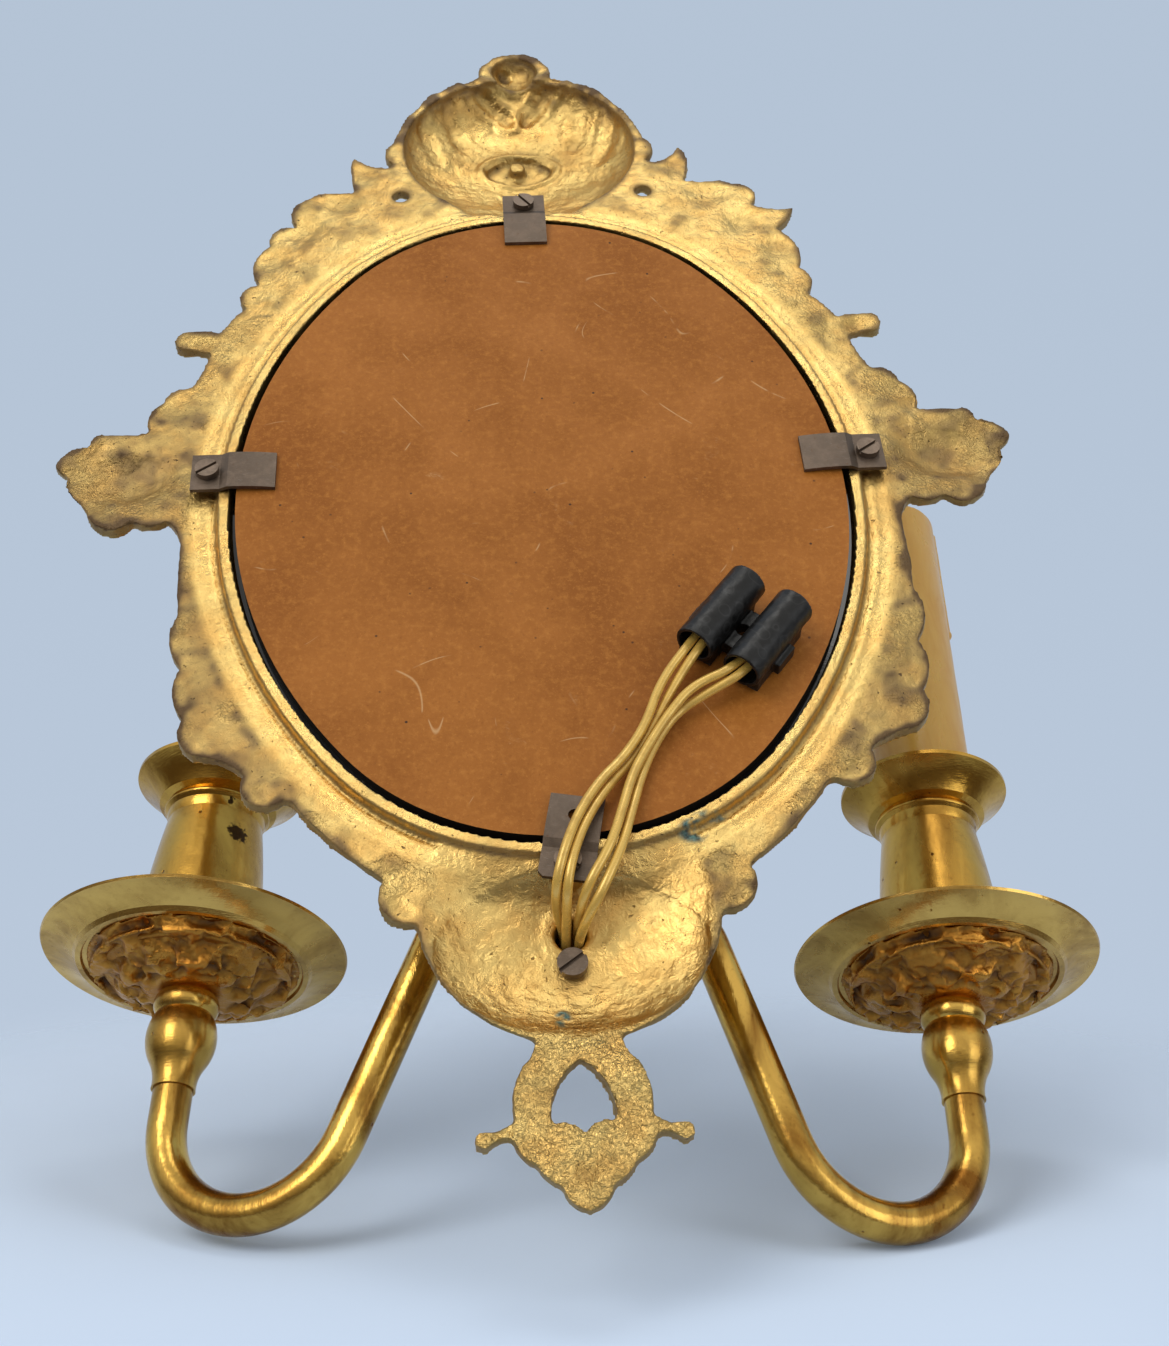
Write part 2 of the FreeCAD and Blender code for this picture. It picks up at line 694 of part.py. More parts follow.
def make_hub():
    """The turned hub under the boss, with a socket for each arm."""
    body = new_body("arm_hub")
    sketch = new_sketch(body, "XY_Plane")
    r, back = size("hub_radius"), hub_back
    draw(sketch, [(0.0, back), (r + 0.5, back), (r + 0.5, back - 2.0, -0.6),
                  (r - 2.0, back - 4.4, -1.6), (r, back - 12.0, -1.5),
                  (r - 3.6, back - 19.0, 0.5), (r - 5.6, back - 21.0, -1.2),
                  (1.2, back - size("hub_length") - 4.0),
                  (0.0, back - size("hub_length") - 4.0)])
    feature(body, "Revolution", sketch, ReferenceAxis=(sketch, ["V_Axis"]), Angle=360.0)
    collars, channel = [], lead_hole_z - hub_z
    for side in (1, -1):
        angle = math.radians(plan_angle if side > 0 else 180.0 - plan_angle)
        x, y = socket_out * math.cos(angle), plan_centre + socket_out * math.sin(angle)
        solid(body, "AdditiveCone", (x, y, channel - 6.5), Radius1=2.4,
              Radius2="sizes.socket_radius", Height=4.0)
        solid(body, "AdditiveCylinder", (x, y, channel - 2.5), Radius="sizes.socket_radius",
              Height=socket_top - hub_z - channel + 2.5)
        collars.append((x, y))
    for x, y in collars:
        floor = socket_floor - hub_z
        solid(body, "SubtractiveCylinder", (x, y, floor), Height=size("socket_depth") + 1,
              Radius="sizes.tube_radius + 0.05")
        solid(body, "SubtractiveCylinder", (x, y, channel - 1.5), Radius=3.2,
              Height=floor - channel + 2.5)
    solid(body, "SubtractiveCylinder", (0, back + 1, channel), FORWARD,
          Radius="sizes.lead_hole_radius + 0.5", Height=1 - plan_centre + back + 3.6)
    for x, y in collars:
        length = math.hypot(x, y - plan_centre)
        turn = math.degrees(math.atan2(y - plan_centre, x))
        solid(body, "SubtractiveCylinder", (0, plan_centre, channel),
              FreeCAD.Rotation(V(0, 0, 1), turn).multiply(SIDEWAYS),
              Radius=2.9, Height=length)
    solid(body, "SubtractiveCylinder", (0, back + 1, hub_screw_z - hub_z), FORWARD,
          Radius="sizes.hub_screw_radius + 0.05", Height=13.0)
    body.Placement = arm_frame.multiply(FreeCAD.Placement(V(0, 0, hub_z),
                                                          FreeCAD.Rotation()))
    return body


def make_hub_screw():
    """The slotted screw that holds the hub from inside the boss."""
    dish_floor = -9.3
    body = new_body("hub_screw")
    solid(body, "AdditiveCylinder", (0, dish_floor, 0), FORWARD,
          Radius="sizes.hub_screw_radius", Height=16.0)
    solid(body, "AdditiveCylinder", (0, dish_floor, 0), BACKWARD,
          Radius="sizes.hub_head_radius", Height=2.0)
    solid(body, "SubtractiveBox", (-4.0, dish_floor + 1.1, -0.45),
          Length=8.0, Width=1.0, Height=0.9)
    body.Placement = arm_frame.multiply(FreeCAD.Placement(
        V(0, 0, hub_screw_z), FreeCAD.Rotation(V(0, 1, 0), 40)))
    return body


def arm_route(start, finish):
    """An arm's centre line in its own plane: up, over the neck and through the bend."""
    neck = V(size("neck_out"), size("neck_height"), 0)
    bend = V(candle_out - size("bend_radius"), size("bend_height"), 0)
    r1, r2 = size("neck_radius"), size("bend_radius")
    way = bend - neck
    slant = math.atan2(way.y, way.x) + math.acos((r1 + r2) / way.Length)
    normal = V(math.cos(slant), math.sin(slant), 0)
    leave, enter = neck + normal * r1, bend - normal * r2
    half = (math.pi + slant) / 2
    over = neck + V(math.cos(half), math.sin(half), 0) * r1
    under_angle = (slant + math.pi + 2 * math.pi) / 2
    under = bend + V(math.cos(under_angle), math.sin(under_angle), 0) * r2
    rise, fall = neck - V(r1, 0, 0), bend + V(r2, 0, 0)
    return [Part.LineSegment(V(rise.x, start, 0), rise),
            Part.ArcOfCircle(rise, over, leave),
            Part.LineSegment(leave, enter),
            Part.ArcOfCircle(enter, under, fall),
            Part.LineSegment(fall, V(fall.x, finish, 0))]


def make_piped(label, side, start, finish, circles):
    """Tubes or wires swept along an arm's centre line from start to finish height."""
    body = new_body(label)
    spine = new_sketch(body, "XZ_Plane")
    spine.addGeometry(arm_route(start, finish), False)
    spine.Visibility = False
    section = new_sketch(body, "XY_Plane", (0, 0, start))
    for across, radius in circles:
        draw_circle(section, socket_out, across, radius)
    pipe = feature(body, "AdditivePipe", section)
    pipe.Spine = spine
    pipe.Mode = "Standard"
    pipe.Transition = "Transformed"
    body.Placement = arm_plane(side)
    return body


# ------------------------------------------------------------------- candle stack

def stack_place(side, height):
    """Where a turned piece of one candle stands: on its axis, at an arm-frame height."""
    return arm_frame.multiply(FreeCAD.Placement(
        V(side * size("candle_reach"), -size("candle_forward"), height),
        FreeCAD.Rotation()))


def make_rosette(label, place):
    """The cast leaf bowl under the drip pan, lobed by a ring of valleys."""
    r, deep = size("rosette_radius"), size("rosette_depth")
    body = turned(label, [
        (5.1, 0.0), (12.0, 0.0), (15.5, 0.4, 1.6), (23.4, deep * 0.55, 0.8),
        (r, deep), (r - 2.4, deep, -0.6), (r - 4.6, deep * 0.62, -1.2),
        (14.0, 2.6), (5.1, 2.6)], place)
    valley = solid(body, "SubtractiveCylinder", (11.0, 0, -1.6),
                   FreeCAD.Rotation(V(0, 1, 0), 66), Radius=1.7, Height=18.0)
    ring = body.newObject("PartDesign::PolarPattern", label + "_lobes")
    ring.Originals = [valley]
    axis = new_sketch(body, "XY_Plane")
    draw_circle(axis, 0, 0, r)
    axis.Visibility = False
    ring.Axis = (axis, ["N_Axis"])
    ring.Angle = 360
    ring.setExpression("Occurrences", "sizes.rosette_lobes")
    body.Tip = ring
    return body


def make_candle(side):
    """Everything that stands on one arm, from the ferrule to the paper-thin sleeve."""
    name = "_right" if side > 0 else "_left"
    tube, bore = size("tube_radius"), size("nipple_bore_radius")
    nipple = size("nipple_radius")
    ferrule, length = size("ferrule_radius"), size("ferrule_length")
    turned("ferrule" + name, [
        (tube + 0.05, 0.0), (tube + 0.5, 0.0, 0.5), (6.4, 6.4, 6.5 - ferrule),
        (6.6, length),
        (nipple + 0.05, length), (nipple + 0.05, length - 3.0), (bore, length - 3.0),
        (bore, 4.5), (tube + 0.05, 4.5)], stack_place(side, ferrule_z))
    collar = size("collar_radius")
    turned("neck_collar" + name, [
        (nipple + 0.05, 0.0), (collar - 1.0, 0.0, -1.0), (collar - 1.0, size("collar_length")),
        (nipple + 0.05, size("collar_length"))], stack_place(side, ferrule_z + length))
    make_rosette("rosette" + name, stack_place(side, pan_z - size("rosette_depth")))

    pan, rise, thick = size("pan_radius"), size("pan_rise"), size("pan_thickness")
    rose = size("rosette_radius")
    turned("drip_pan" + name, [
        (nipple + 0.1, 0.0), (rose + 0.4, 0.0), (rose + 0.8, -0.7), (rose + 2.0, -0.7),
        (rose + 2.8, 0.3, 0.5), (pan - 0.3, rise), (pan, rise + 0.6), (pan - 0.6, rise + thick),
        (rose + 2.2, thick + 0.4), (size("nozzle_foot_radius") + 0.8, thick),
        (nipple + 0.1, thick)], stack_place(side, pan_z))

    top, ledge = size("nozzle_height"), size("ledge_height")
    foot, waist, neck = (size("nozzle_foot_radius"), size("nozzle_waist_radius"),
                         size("nozzle_neck_radius"))
    rim, wall = size("nozzle_rim_radius"), size("nozzle_wall")
    sleeve = size("sleeve_radius")
    seat_radius = sleeve + 0.3
    floor = thick + wall
    turned("nozzle" + name, [
        (nipple + 0.1, thick), (foot - 1.6, thick), (foot + 0.2, thick + 1.6, -0.3),
        (foot, thick + 5.0, -0.5), (waist, ledge - 6.0, -0.1), (waist + 0.4, ledge - 3.6),
        (neck, ledge - 2.9, -0.3), (neck, ledge - 1.7), (neck - 0.4, ledge - 1.4),
        (seat_radius + wall, ledge - 0.4, 0.5), (rim, top + 0.8), (rim, top + 1.8),
        (rim - 1.0, top + 2.0, -0.5), (seat_radius, ledge + 1.4), (seat_radius, ledge),
        (sleeve - size("sleeve_wall") - 0.5, ledge), (waist - wall, ledge - 4.0),
        (waist - wall, ledge - 6.0, 0.5), (foot - wall, thick + 5.0),
        (foot - wall - 1.0, floor), (nipple + 0.1, floor)], stack_place(side, pan_z))
    turned("nipple" + name, [
        (bore, -size("rosette_depth") - size("collar_length") - 2.8),
        (nipple, -size("rosette_depth") - size("collar_length") - 2.8),
        (nipple, 13.6), (bore, 13.6)], stack_place(side, pan_z))

    nut = new_body("nozzle_nut" + name)
    outline = new_sketch(nut, "XY_Plane")
    corner = size("nut_width") / math.sqrt(3)
    draw(outline, [(corner * math.cos(math.radians(60 * k)),
                    corner * math.sin(math.radians(60 * k))) for k in range(6)])
    draw_circle(outline, 0, 0, nipple + 0.05)
    feature(nut, "Pad", outline, Length="sizes.nut_height")
    nut.Placement = stack_place(side, pan_z + floor)

    low = floor + size("nut_height")
    high = ledge + size("sleeve_length") - 2.0
    holder, stem = size("holder_radius"), size("stem_radius")
    lamp, deep = size("lamp_bore_radius"), size("lamp_bore_length")
    shoulder = high - size("holder_length")
    seat, contact = size("contact_seat_radius"), high - deep - size("contact_seat_depth")
    turned("lampholder" + name, [
        (nipple + 0.05, low), (8.0, low), (8.0, low + 2.0), (6.6, low + 3.0),
        (6.6, low + 8.4), (stem, low + 10.0), (stem, shoulder - 5.0),
        (holder - 2.6, shoulder - 2.0), (holder, shoulder + 1.0), (holder, high - 0.6),
        (holder - 0.6, high), (lamp, high), (lamp, high - deep), (seat, high - deep),
        (seat, contact), (2.6, contact), (2.6, low + 8.8), (nipple + 0.05, low + 7.4)],
        stack_place(side, pan_z))
    turned("lamp_contact" + name, [
        (0.0, 0.0), (4.6, 0.0), (4.6, 0.5), (2.0, 0.5), (2.0, 1.4), (0.0, 1.4)],
        stack_place(side, pan_z + contact))

    inner, long = sleeve - size("sleeve_wall"), size("sleeve_length")
    candle = turned("candle_sleeve" + name, [
        (inner, 0.0), (sleeve, 0.0), (sleeve, long - 1.6, 0.5), (inner + 0.1, long),
        (inner - 0.5, long - 0.6), (inner, long - 2.0)],
        stack_place(side, pan_z + ledge + size("running_gap")))
    # a run of wax down the outer side, ending in a drop
    solid(candle, "AdditiveCylinder", (side * (sleeve - 0.4), 0, 60.0), Radius=1.3,
          Height=long - 62.5)
    solid(candle, "AdditiveSphere", (side * (sleeve - 0.6), 0, 60.0), Radius=1.8)
    clear = new_sketch(candle, "XY_Plane")
    draw_circle(clear, 0, 0, inner)
    feature(candle, "Pocket", clear, Length=long - 1.0, Reversed=True)


# ------------------------------------------------------------------- terminal block

block_place = FreeCAD.Placement(
    V(size("block_across"), size("block_standoff"), size("block_height")),
    FreeCAD.Rotation(V(0, 1, 0), -size("block_turn")))


def pole_centres():
    """The two poles' places across the block."""
    half = size("block_pitch") / 2
    return [-half, half]


def make_block():
    """Two insulating barrels with a web between; the screws face the board."""
    length, radius = size("pole_length"), size("pole_radius")
    body = new_body("terminal_block")
    deep, mouth = size("block_standoff") - 0.6, size("pole_mouth_length")
    for z in pole_centres():
        solid(body, "AdditiveCylinder", (-length / 2, 0, z), SIDEWAYS,
              Radius="sizes.pole_radius", Height="sizes.pole_length")
        solid(body, "AdditiveBox", (-length / 2 + 1.0, -deep, z - radius + 0.5),
              Length=length - 4.0, Width=deep, Height=2 * radius - 1.0)
    solid(body, "AdditiveBox", (-6.0, -deep + 1.0, -3.2), Length=12.0, Width=3.2, Height=6.4)
    for z in (-1, 1):
        out = z * (size("block_pitch") / 2 + radius)
        solid(body, "AdditiveBox", (-4.5, -deep + 1.0, min(out - z * 1.5, out + z * 1.2)),
              Length=7.0, Width=3.2, Height=2.7)
    solid(body, "SubtractiveCylinder", (0, -deep, 0), BACKWARD, Radius=1.6, Height=8.0)
    for z in pole_centres():
        solid(body, "SubtractiveCylinder", (-length / 2 - 1, 0, z), SIDEWAYS,
              Radius="sizes.pole_bore_radius", Height=length + 2)
        for x in (-length / 2 - 1, length / 2 - mouth):
            solid(body, "SubtractiveCylinder", (x, 0, z), SIDEWAYS,
                  Radius="sizes.pole_mouth_radius", Height=mouth + 1)
        for x in (-5.0, 5.0):
            solid(body, "SubtractiveCylinder", (x, -deep - 1, z), BACKWARD,
                  Radius=1.75, Height=deep)
    body.Placement = block_place


def make_inserts_and_screws():
    """A brass tube in each barrel and its two clamping screws."""
    length = size("insert_length")
    insert = new_body("terminal_insert")
    solid(insert, "AdditiveCylinder", (-length / 2, 0, 0), SIDEWAYS,
          Radius="sizes.insert_radius", Height="sizes.insert_length")
    solid(insert, "SubtractiveCylinder", (-length / 2 - 1, 0, 0), SIDEWAYS,
          Radius="sizes.insert_bore_radius", Height=length + 2)
    for x in (-5.0, 5.0):
        solid(insert, "SubtractiveCylinder", (x, 0, 0), FORWARD, Radius=1.3, Height=4.0)
    screw = new_body("terminal_screw")
    solid(screw, "AdditiveCylinder", (0, -1.15, 0), FORWARD, Radius=1.25, Height=2.6)
    solid(screw, "AdditiveCylinder", (0, -3.6, 0), FORWARD, Radius=1.6, Height=1.6)
    solid(screw, "SubtractiveBox", (-2.0, -5.3, -0.25), Length=4.0, Width=0.8, Height=0.5)
    doc.recompute()
    inserts, screws = [], []
    for z in pole_centres():
        tube = insert.Shape.copy()
        tube.Placement = block_place.multiply(FreeCAD.Placement(V(0, 0, z),
                                                                FreeCAD.Rotation()))
        inserts.append(tube)
        for x in (-5.0, 5.0):
            one = screw.Shape.copy()
            one.Placement = block_place.multiply(FreeCAD.Placement(V(x, 0, z),
                                                                   FreeCAD.Rotation()))
            screws.append(one)
    group_of("terminal_inserts", inserts, insert)
    group_of("terminal_screws", screws, screw)


# ------------------------------------------------------------------- the four leads

def pole_mouth(number, across, inside):
    """A point on a lead's way into one pole, measured in from the mouth."""
    z = pole_centres()[number] + across
    return block_place.multVec(V(-size("pole_length") / 2 + inside, 0, z))


def lead_routes():
    """Each lead's route: out of the hub, over the foot clip and across to its pole."""
    low, up = lead_hole_z - 1.25, lead_hole_z + 1.25
    routes = {
        "lead_a": [(0.9, -20.0, up), (1.1, -11.0, up), (2.9, -3.5, -118.0),
                   (2.8, 3.4, -115.2), (0.6, 5.9, -108.2), (-2.7, 5.6, -99.8),
                   (-7.7, 4.9, -91.4), (-13.5, 3.9, -84.9), (-18.8, 4.2, -76.8),
                   (-22.9, 5.3, -66.0)],
        "lead_b": [(0.9, -20.0, low), (1.0, -11.0, low), (0.8, -3.5, -119.4),
                   (0.5, 3.5, -115.6), (-1.3, 4.7, -108.2), (-4.8, 4.2, -99.6),
                   (-9.8, 2.9, -91.2), (-15.4, 1.6, -84.4), (-20.7, 2.3, -75.6),
                   (-26.3, 4.2, -65.8)],
        "lead_c": [(-1.4, -20.0, up), (-1.5, -11.0, up), (-1.6, -3.5, -119.6),
                   (-3.7, 3.3, -115.6), (-8.9, 4.7, -107.6), (-12.0, 4.6, -98.6),
                   (-14.8, 4.0, -89.6), (-19.2, 3.9, -81.6), (-24.2, 4.3, -74.0),
                   (-30.0, 5.4, -67.4)],
        "lead_d": [(-1.4, -20.0, low), (-1.5, -11.0, low), (-2.4, -3.5, -121.8),
                   (-6.6, 2.9, -117.0), (-11.2, 3.6, -107.6), (-14.2, 2.9, -97.8),
                   (-17.0, 2.0, -88.4), (-20.8, 1.5, -79.8), (-26.0, 1.8, -72.2),
                   (-33.4, 3.7, -68.4)],
    }
    for name, pole, across in (("lead_a", 0, -1.15), ("lead_b", 0, 1.15),
                               ("lead_c", 1, -1.15), ("lead_d", 1, 1.15)):
        routes[name] += [tuple(pole_mouth(pole, across, 0.8)),
                         tuple(pole_mouth(pole, across, 9.0))]
    return routes


def rounded_path(points, label):
    """Straight runs joined by tangent arcs, each as large as its two runs allow."""
    points = [V(*p) for p in points]
    edges, last, radii = [], points[0], []
    for before, here, after in zip(points, points[1:], points[2:]):
        back, ahead = before - here, after - here
        shorter = min(back.Length, ahead.Length)
        back.normalize()
        ahead.normalize()
        half_turn = (math.pi - back.getAngle(ahead)) / 2
        radius = 0.45 * shorter / math.tan(half_turn)
        radii.append(radius)
        start, end = here + back * 0.45 * shorter, here + ahead * 0.45 * shorter
        inward = back + ahead
        inward.normalize()
        centre = here + inward * (radius / math.cos(half_turn))
        middle = centre - inward * radius
        edges += [Part.makeLine(last, start), Part.Arc(start, middle, end).toShape()]
        last = end
    edges.append(Part.makeLine(last, points[-1]))
    print(label, "radii", " ".join("%.1f" % r for r in radii))
    return Part.Wire(edges)


def make_leads():
    """The four insulated wires between the hub and the terminal block."""
    radius = size("lead_radius")
    for label, points in lead_routes().items():
        path = rounded_path(points, label)
        way = path.Edges[0].tangentAt(path.Edges[0].FirstParameter)
        circle = Part.Wire(Part.makeCircle(radius, V(*points[0]), way))
        lead = doc.addObject("Part::Feature", label)
        lead.Label = label
        lead.Shape = path.makePipeShell([circle], True, True)
        ideal = math.pi * radius ** 2 * path.Length
        print(label, "length %.1f, volume over section x length %.4f"
              % (path.Length, lead.Shape.Volume / ideal))


# ------------------------------------------------------------------- build and export

make_casting()
make_glass_and_board()
for clip_name, clip_at, clip_turn in clip_stations():
    make_clip(clip_name, clip_at, clip_turn)
make_clip_screws()
make_hub()
make_hub_screw()
for arm_side, arm_name in ((1, "_right"), (-1, "_left")):
    make_piped("arm" + arm_name, arm_side, socket_floor, tube_end,
               [(0.0, size("tube_radius")), (0.0, size("tube_bore_radius"))])
    make_piped("arm_leads" + arm_name, arm_side, lead_hole_z - 0.5, pan_z + 100.0,
               [(1.2, size("lead_radius")), (-1.2, size("lead_radius"))])
    make_candle(arm_side)
make_block()
make_inserts_and_screws()
make_leads()
doc.recompute()

patterns = [o for o in doc.Objects if o.Label.endswith("_pattern")]
pieces = [o for o in doc.Objects
          if o.TypeId in ("PartDesign::Body", "Part::Feature") and o not in patterns]
for item in doc.Objects:
    if any(word in ("Invalid", "Error") for word in item.State):
        raise RuntimeError("%s did not rebuild: %s" % (item.Label, item.State))
for piece in pieces:
    if piece.Shape.isNull() or not piece.Shape.isValid():
        raise RuntimeError("%s has no valid shape" % piece.Label)

os.makedirs("parts", exist_ok=True)
for piece in pieces:
    piece.Shape.exportStep("parts/%s.step" % piece.Label)
print(len(pieces), "pieces written")
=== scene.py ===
"""Looks of the girandole mirror: finishes, cast relief, wiring, stage and camera.

Metres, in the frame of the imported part: +Z up the wall, +Y into the wall, +X to the right
of somebody who faces the glass.  The photograph looks up at the mirror's back.
"""

import math

import bmesh
import bpy
import numpy as np
from mathutils import Matrix, Vector, noise


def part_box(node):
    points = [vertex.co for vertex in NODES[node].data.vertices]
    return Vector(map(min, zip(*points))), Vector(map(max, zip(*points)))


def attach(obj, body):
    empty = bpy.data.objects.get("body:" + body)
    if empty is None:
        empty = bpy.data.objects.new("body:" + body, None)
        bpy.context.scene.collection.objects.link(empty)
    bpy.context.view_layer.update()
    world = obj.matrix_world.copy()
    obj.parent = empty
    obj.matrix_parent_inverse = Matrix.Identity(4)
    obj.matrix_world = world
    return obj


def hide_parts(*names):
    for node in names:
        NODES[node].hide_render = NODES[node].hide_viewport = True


bl_info = {
    "name": "Girandole Mirror",
    "version": (1, 0, 0),
    "blender": (4, 5, 0),
    "location": "View3D > Sidebar > Girandole",
    "description": "Dresses the girandole mirror and sets up its studio",
    "category": "Object",
}

MM = 0.001
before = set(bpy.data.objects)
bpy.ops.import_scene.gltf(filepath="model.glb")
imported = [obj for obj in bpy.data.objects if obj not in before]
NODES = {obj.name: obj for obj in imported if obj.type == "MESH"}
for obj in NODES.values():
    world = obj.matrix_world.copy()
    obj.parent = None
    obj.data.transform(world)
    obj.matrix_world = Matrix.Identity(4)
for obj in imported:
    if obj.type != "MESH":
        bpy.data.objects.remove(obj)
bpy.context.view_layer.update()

# the backing board's oval: end arcs and side arcs that meet at equal tangents
BOARD_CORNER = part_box("backing_board")[1]
HALF_WIDTH, HALF_HEIGHT = BOARD_CORNER.x / MM, BOARD_CORNER.z / MM
END_RADIUS = 60.0
END_CENTRE = HALF_HEIGHT - END_RADIUS
SIDE_RADIUS = ((HALF_WIDTH ** 2 + END_CENTRE ** 2 - END_RADIUS ** 2)
               / (2 * (HALF_WIDTH - END_RADIUS)))
SIDE_CENTRE = SIDE_RADIUS - HALF_WIDTH
ARM_TURN = math.radians(4.0)
# burnt patches on the +X nozzle: place and radius in mm
NOZZLE_BLOTS = ((78.0, -51.0, -65.0, 3.0), (79.4, -49.5, -55.6, 0.9))


# ------------------------------------------------------------------------ settings

class GirandoleFinishes(bpy.types.PropertyGroup):
    """The colours that a user would change."""
    cast_gold: bpy.props.FloatVectorProperty(
        name="Cast gold", description="Gilt surface of the hollow casting",
        subtype="COLOR", size=3, min=0, max=1, default=(0.74, 0.52, 0.18))
    # brown of the patina and of the painted shade in the recesses, grooves and lip walls
    cast_patina_and_shade: bpy.props.FloatVectorProperty(
        name="Cast patina", description="Brown in the recesses and on the cut edges",
        subtype="COLOR", size=3, min=0, max=1, default=(0.105, 0.058, 0.020))
    turned_gold: bpy.props.FloatVectorProperty(
        name="Turned gold", description="Lacquered tube and turned cups",
        subtype="COLOR", size=3, min=0, max=1, default=(0.72, 0.45, 0.10))
    turned_amber: bpy.props.FloatVectorProperty(
        name="Turned amber", description="Aged lacquer on the tube and cups",
        subtype="COLOR", size=3, min=0, max=1, default=(0.20, 0.078, 0.012))
    board_brown: bpy.props.FloatVectorProperty(
        name="Board brown", description="Face of the pressed fibre board",
        subtype="COLOR", size=3, min=0, max=1, default=(0.345, 0.122, 0.018))
    clip_grey: bpy.props.FloatVectorProperty(
        name="Clip grey", description="Dull spring steel of the clips",
        subtype="COLOR", size=3, min=0, max=1, default=(0.105, 0.078, 0.058))
    block_black: bpy.props.FloatVectorProperty(
        name="Block black", description="Plastic of the terminal block",
        subtype="COLOR", size=3, min=0, max=1, default=(0.006, 0.006, 0.006))
    lead_gold: bpy.props.FloatVectorProperty(
        name="Lead gold", description="Insulation of the four leads",
        subtype="COLOR", size=3, min=0, max=1, default=(0.70, 0.45, 0.10))
    candle_ivory: bpy.props.FloatVectorProperty(
        name="Candle ivory", description="The candle sleeves and their wax",
        subtype="COLOR", size=3, min=0, max=1, default=(0.60, 0.35, 0.065))


class GirandoleRelief(bpy.types.PropertyGroup):
    """Sizes of the cast surface's relief."""
    grain: bpy.props.FloatProperty(
        name="Grain", description="Spacing of the casting's mesh", unit="LENGTH",
        default=0.62 * MM, min=0.4 * MM, max=3 * MM)
    pebble: bpy.props.FloatProperty(
        name="Pebble", description="Depth of the fine sand texture", unit="LENGTH",
        default=0.16 * MM, min=0, max=1 * MM)
    lump: bpy.props.FloatProperty(
        name="Lump", description="Depth of the slow swells in the leaves", unit="LENGTH",
        default=0.5 * MM, min=0, max=2 * MM)
    rose_lobe: bpy.props.FloatProperty(
        name="Rosette lobe", description="Depth of the rosettes' leaf lobes",
        unit="LENGTH", default=1.5 * MM, min=0, max=3 * MM)


class GirandoleStudio(bpy.types.PropertyGroup):
    """Camera and lamps."""
    lens: bpy.props.FloatProperty(
        name="Lens", description="Focal length on a 36 mm sensor", default=46.79,
        min=10, max=200)
    azimuth: bpy.props.FloatProperty(
        name="Azimuth", description="Camera's bearing round the mirror", subtype="ANGLE",
        default=math.radians(176.147))
    elevation: bpy.props.FloatProperty(
        name="Elevation", description="Camera's height above the horizon",
        subtype="ANGLE", default=math.radians(-37.730))
    roll: bpy.props.FloatProperty(
        name="Roll", description="Camera's roll", subtype="ANGLE",
        default=math.radians(-4.605))
    distance: bpy.props.FloatProperty(
        name="Distance", description="Camera's distance along its line of sight",
        unit="LENGTH", default=429.497 * MM)
    across: bpy.props.FloatProperty(
        name="Across", description="Sideways offset of the aim", unit="LENGTH",
        default=-10.388 * MM)
    above: bpy.props.FloatProperty(
        name="Above", description="Upward offset of the aim", unit="LENGTH",
        default=46.070 * MM)
    key: bpy.props.FloatProperty(
        name="Key", description="Power of the main soft lamp in watts", default=3.8,
        min=0, max=100)


def finishes():
    return bpy.context.scene.girandole_finishes


def relief():
    return bpy.context.scene.girandole_relief


def studio():
    return bpy.context.scene.girandole_studio


# ------------------------------------------------------------------ finish helpers

def new_finish(name):
    """An empty material with one Principled shader."""
    finish = bpy.data.materials.new(name)
    finish.use_nodes = True
    tree = finish.node_tree
    tree.nodes.clear()
    output = tree.nodes.new("ShaderNodeOutputMaterial")
    shader = tree.nodes.new("ShaderNodeBsdfPrincipled")
    tree.links.new(shader.outputs["BSDF"], output.inputs["Surface"])
    return finish, tree, shader


def add(tree, kind, inputs=(), **settings):
    """A node with its settings, constants and links."""
    node = tree.nodes.new("ShaderNode" + kind)
    for name, value in settings.items():
        setattr(node, name, value)
    for name, value in dict(inputs).items():
        if isinstance(value, bpy.types.NodeSocket):
            tree.links.new(value, node.inputs[name])
        else:
            node.inputs[name].default_value = value
    return node


def place(tree, stretch=(1, 1, 1), turn=(0, 0, 0)):
    """Object coordinates, turned and then stretched."""
    coords = add(tree, "TexCoord").outputs["Object"]
    turned = add(tree, "Mapping", {"Vector": coords, "Rotation": turn})
    return add(tree, "Mapping", {"Vector": turned.outputs["Vector"],
                                 "Scale": stretch}).outputs["Vector"]


def grain_of(tree, where, size_mm, detail=4.0, rough=0.55, twist=0.0):
    """Noise whose features are about size_mm wide."""
    return add(tree, "TexNoise", {"Vector": where, "Scale": 1 / (size_mm * MM),
                                  "Detail": detail, "Roughness": rough,
                                  "Distortion": twist}).outputs["Fac"]


def cells_of(tree, where, size_mm, feature="F1"):
    """Voronoi distances for pits and flakes about size_mm apart."""
    return add(tree, "TexVoronoi", {"Vector": where, "Scale": 1 / (size_mm * MM)},
               feature=feature).outputs["Distance"]


def ramp(tree, value, low, high, start=0.0, end=1.0):
    """Maps low..high of a value smoothly to start..end."""
    return add(tree, "MapRange", {"Value": value, "From Min": low, "From Max": high,
                                  "To Min": start, "To Max": end},
               interpolation_type="SMOOTHSTEP").outputs["Result"]


def maths(tree, operation, a, b=0.0):
    node = add(tree, "Math", operation=operation)
    for socket, value in zip(node.inputs, (a, b)):
        if isinstance(value, bpy.types.NodeSocket):
            tree.links.new(value, socket)
        else:
            socket.default_value = value
    return node.outputs[0]


def blend_colour(tree, amount, first, second):
    """Mixes two colours, each a triple or a socket."""
    node = add(tree, "Mix", data_type="RGBA")
    for name, value in ((0, amount), (6, first), (7, second)):
        socket = node.inputs[name]
        if isinstance(value, bpy.types.NodeSocket):
            tree.links.new(value, socket)
        elif name == 0:
            socket.default_value = value
        else:
            socket.default_value = (*value, 1.0)
    return node.outputs[2]


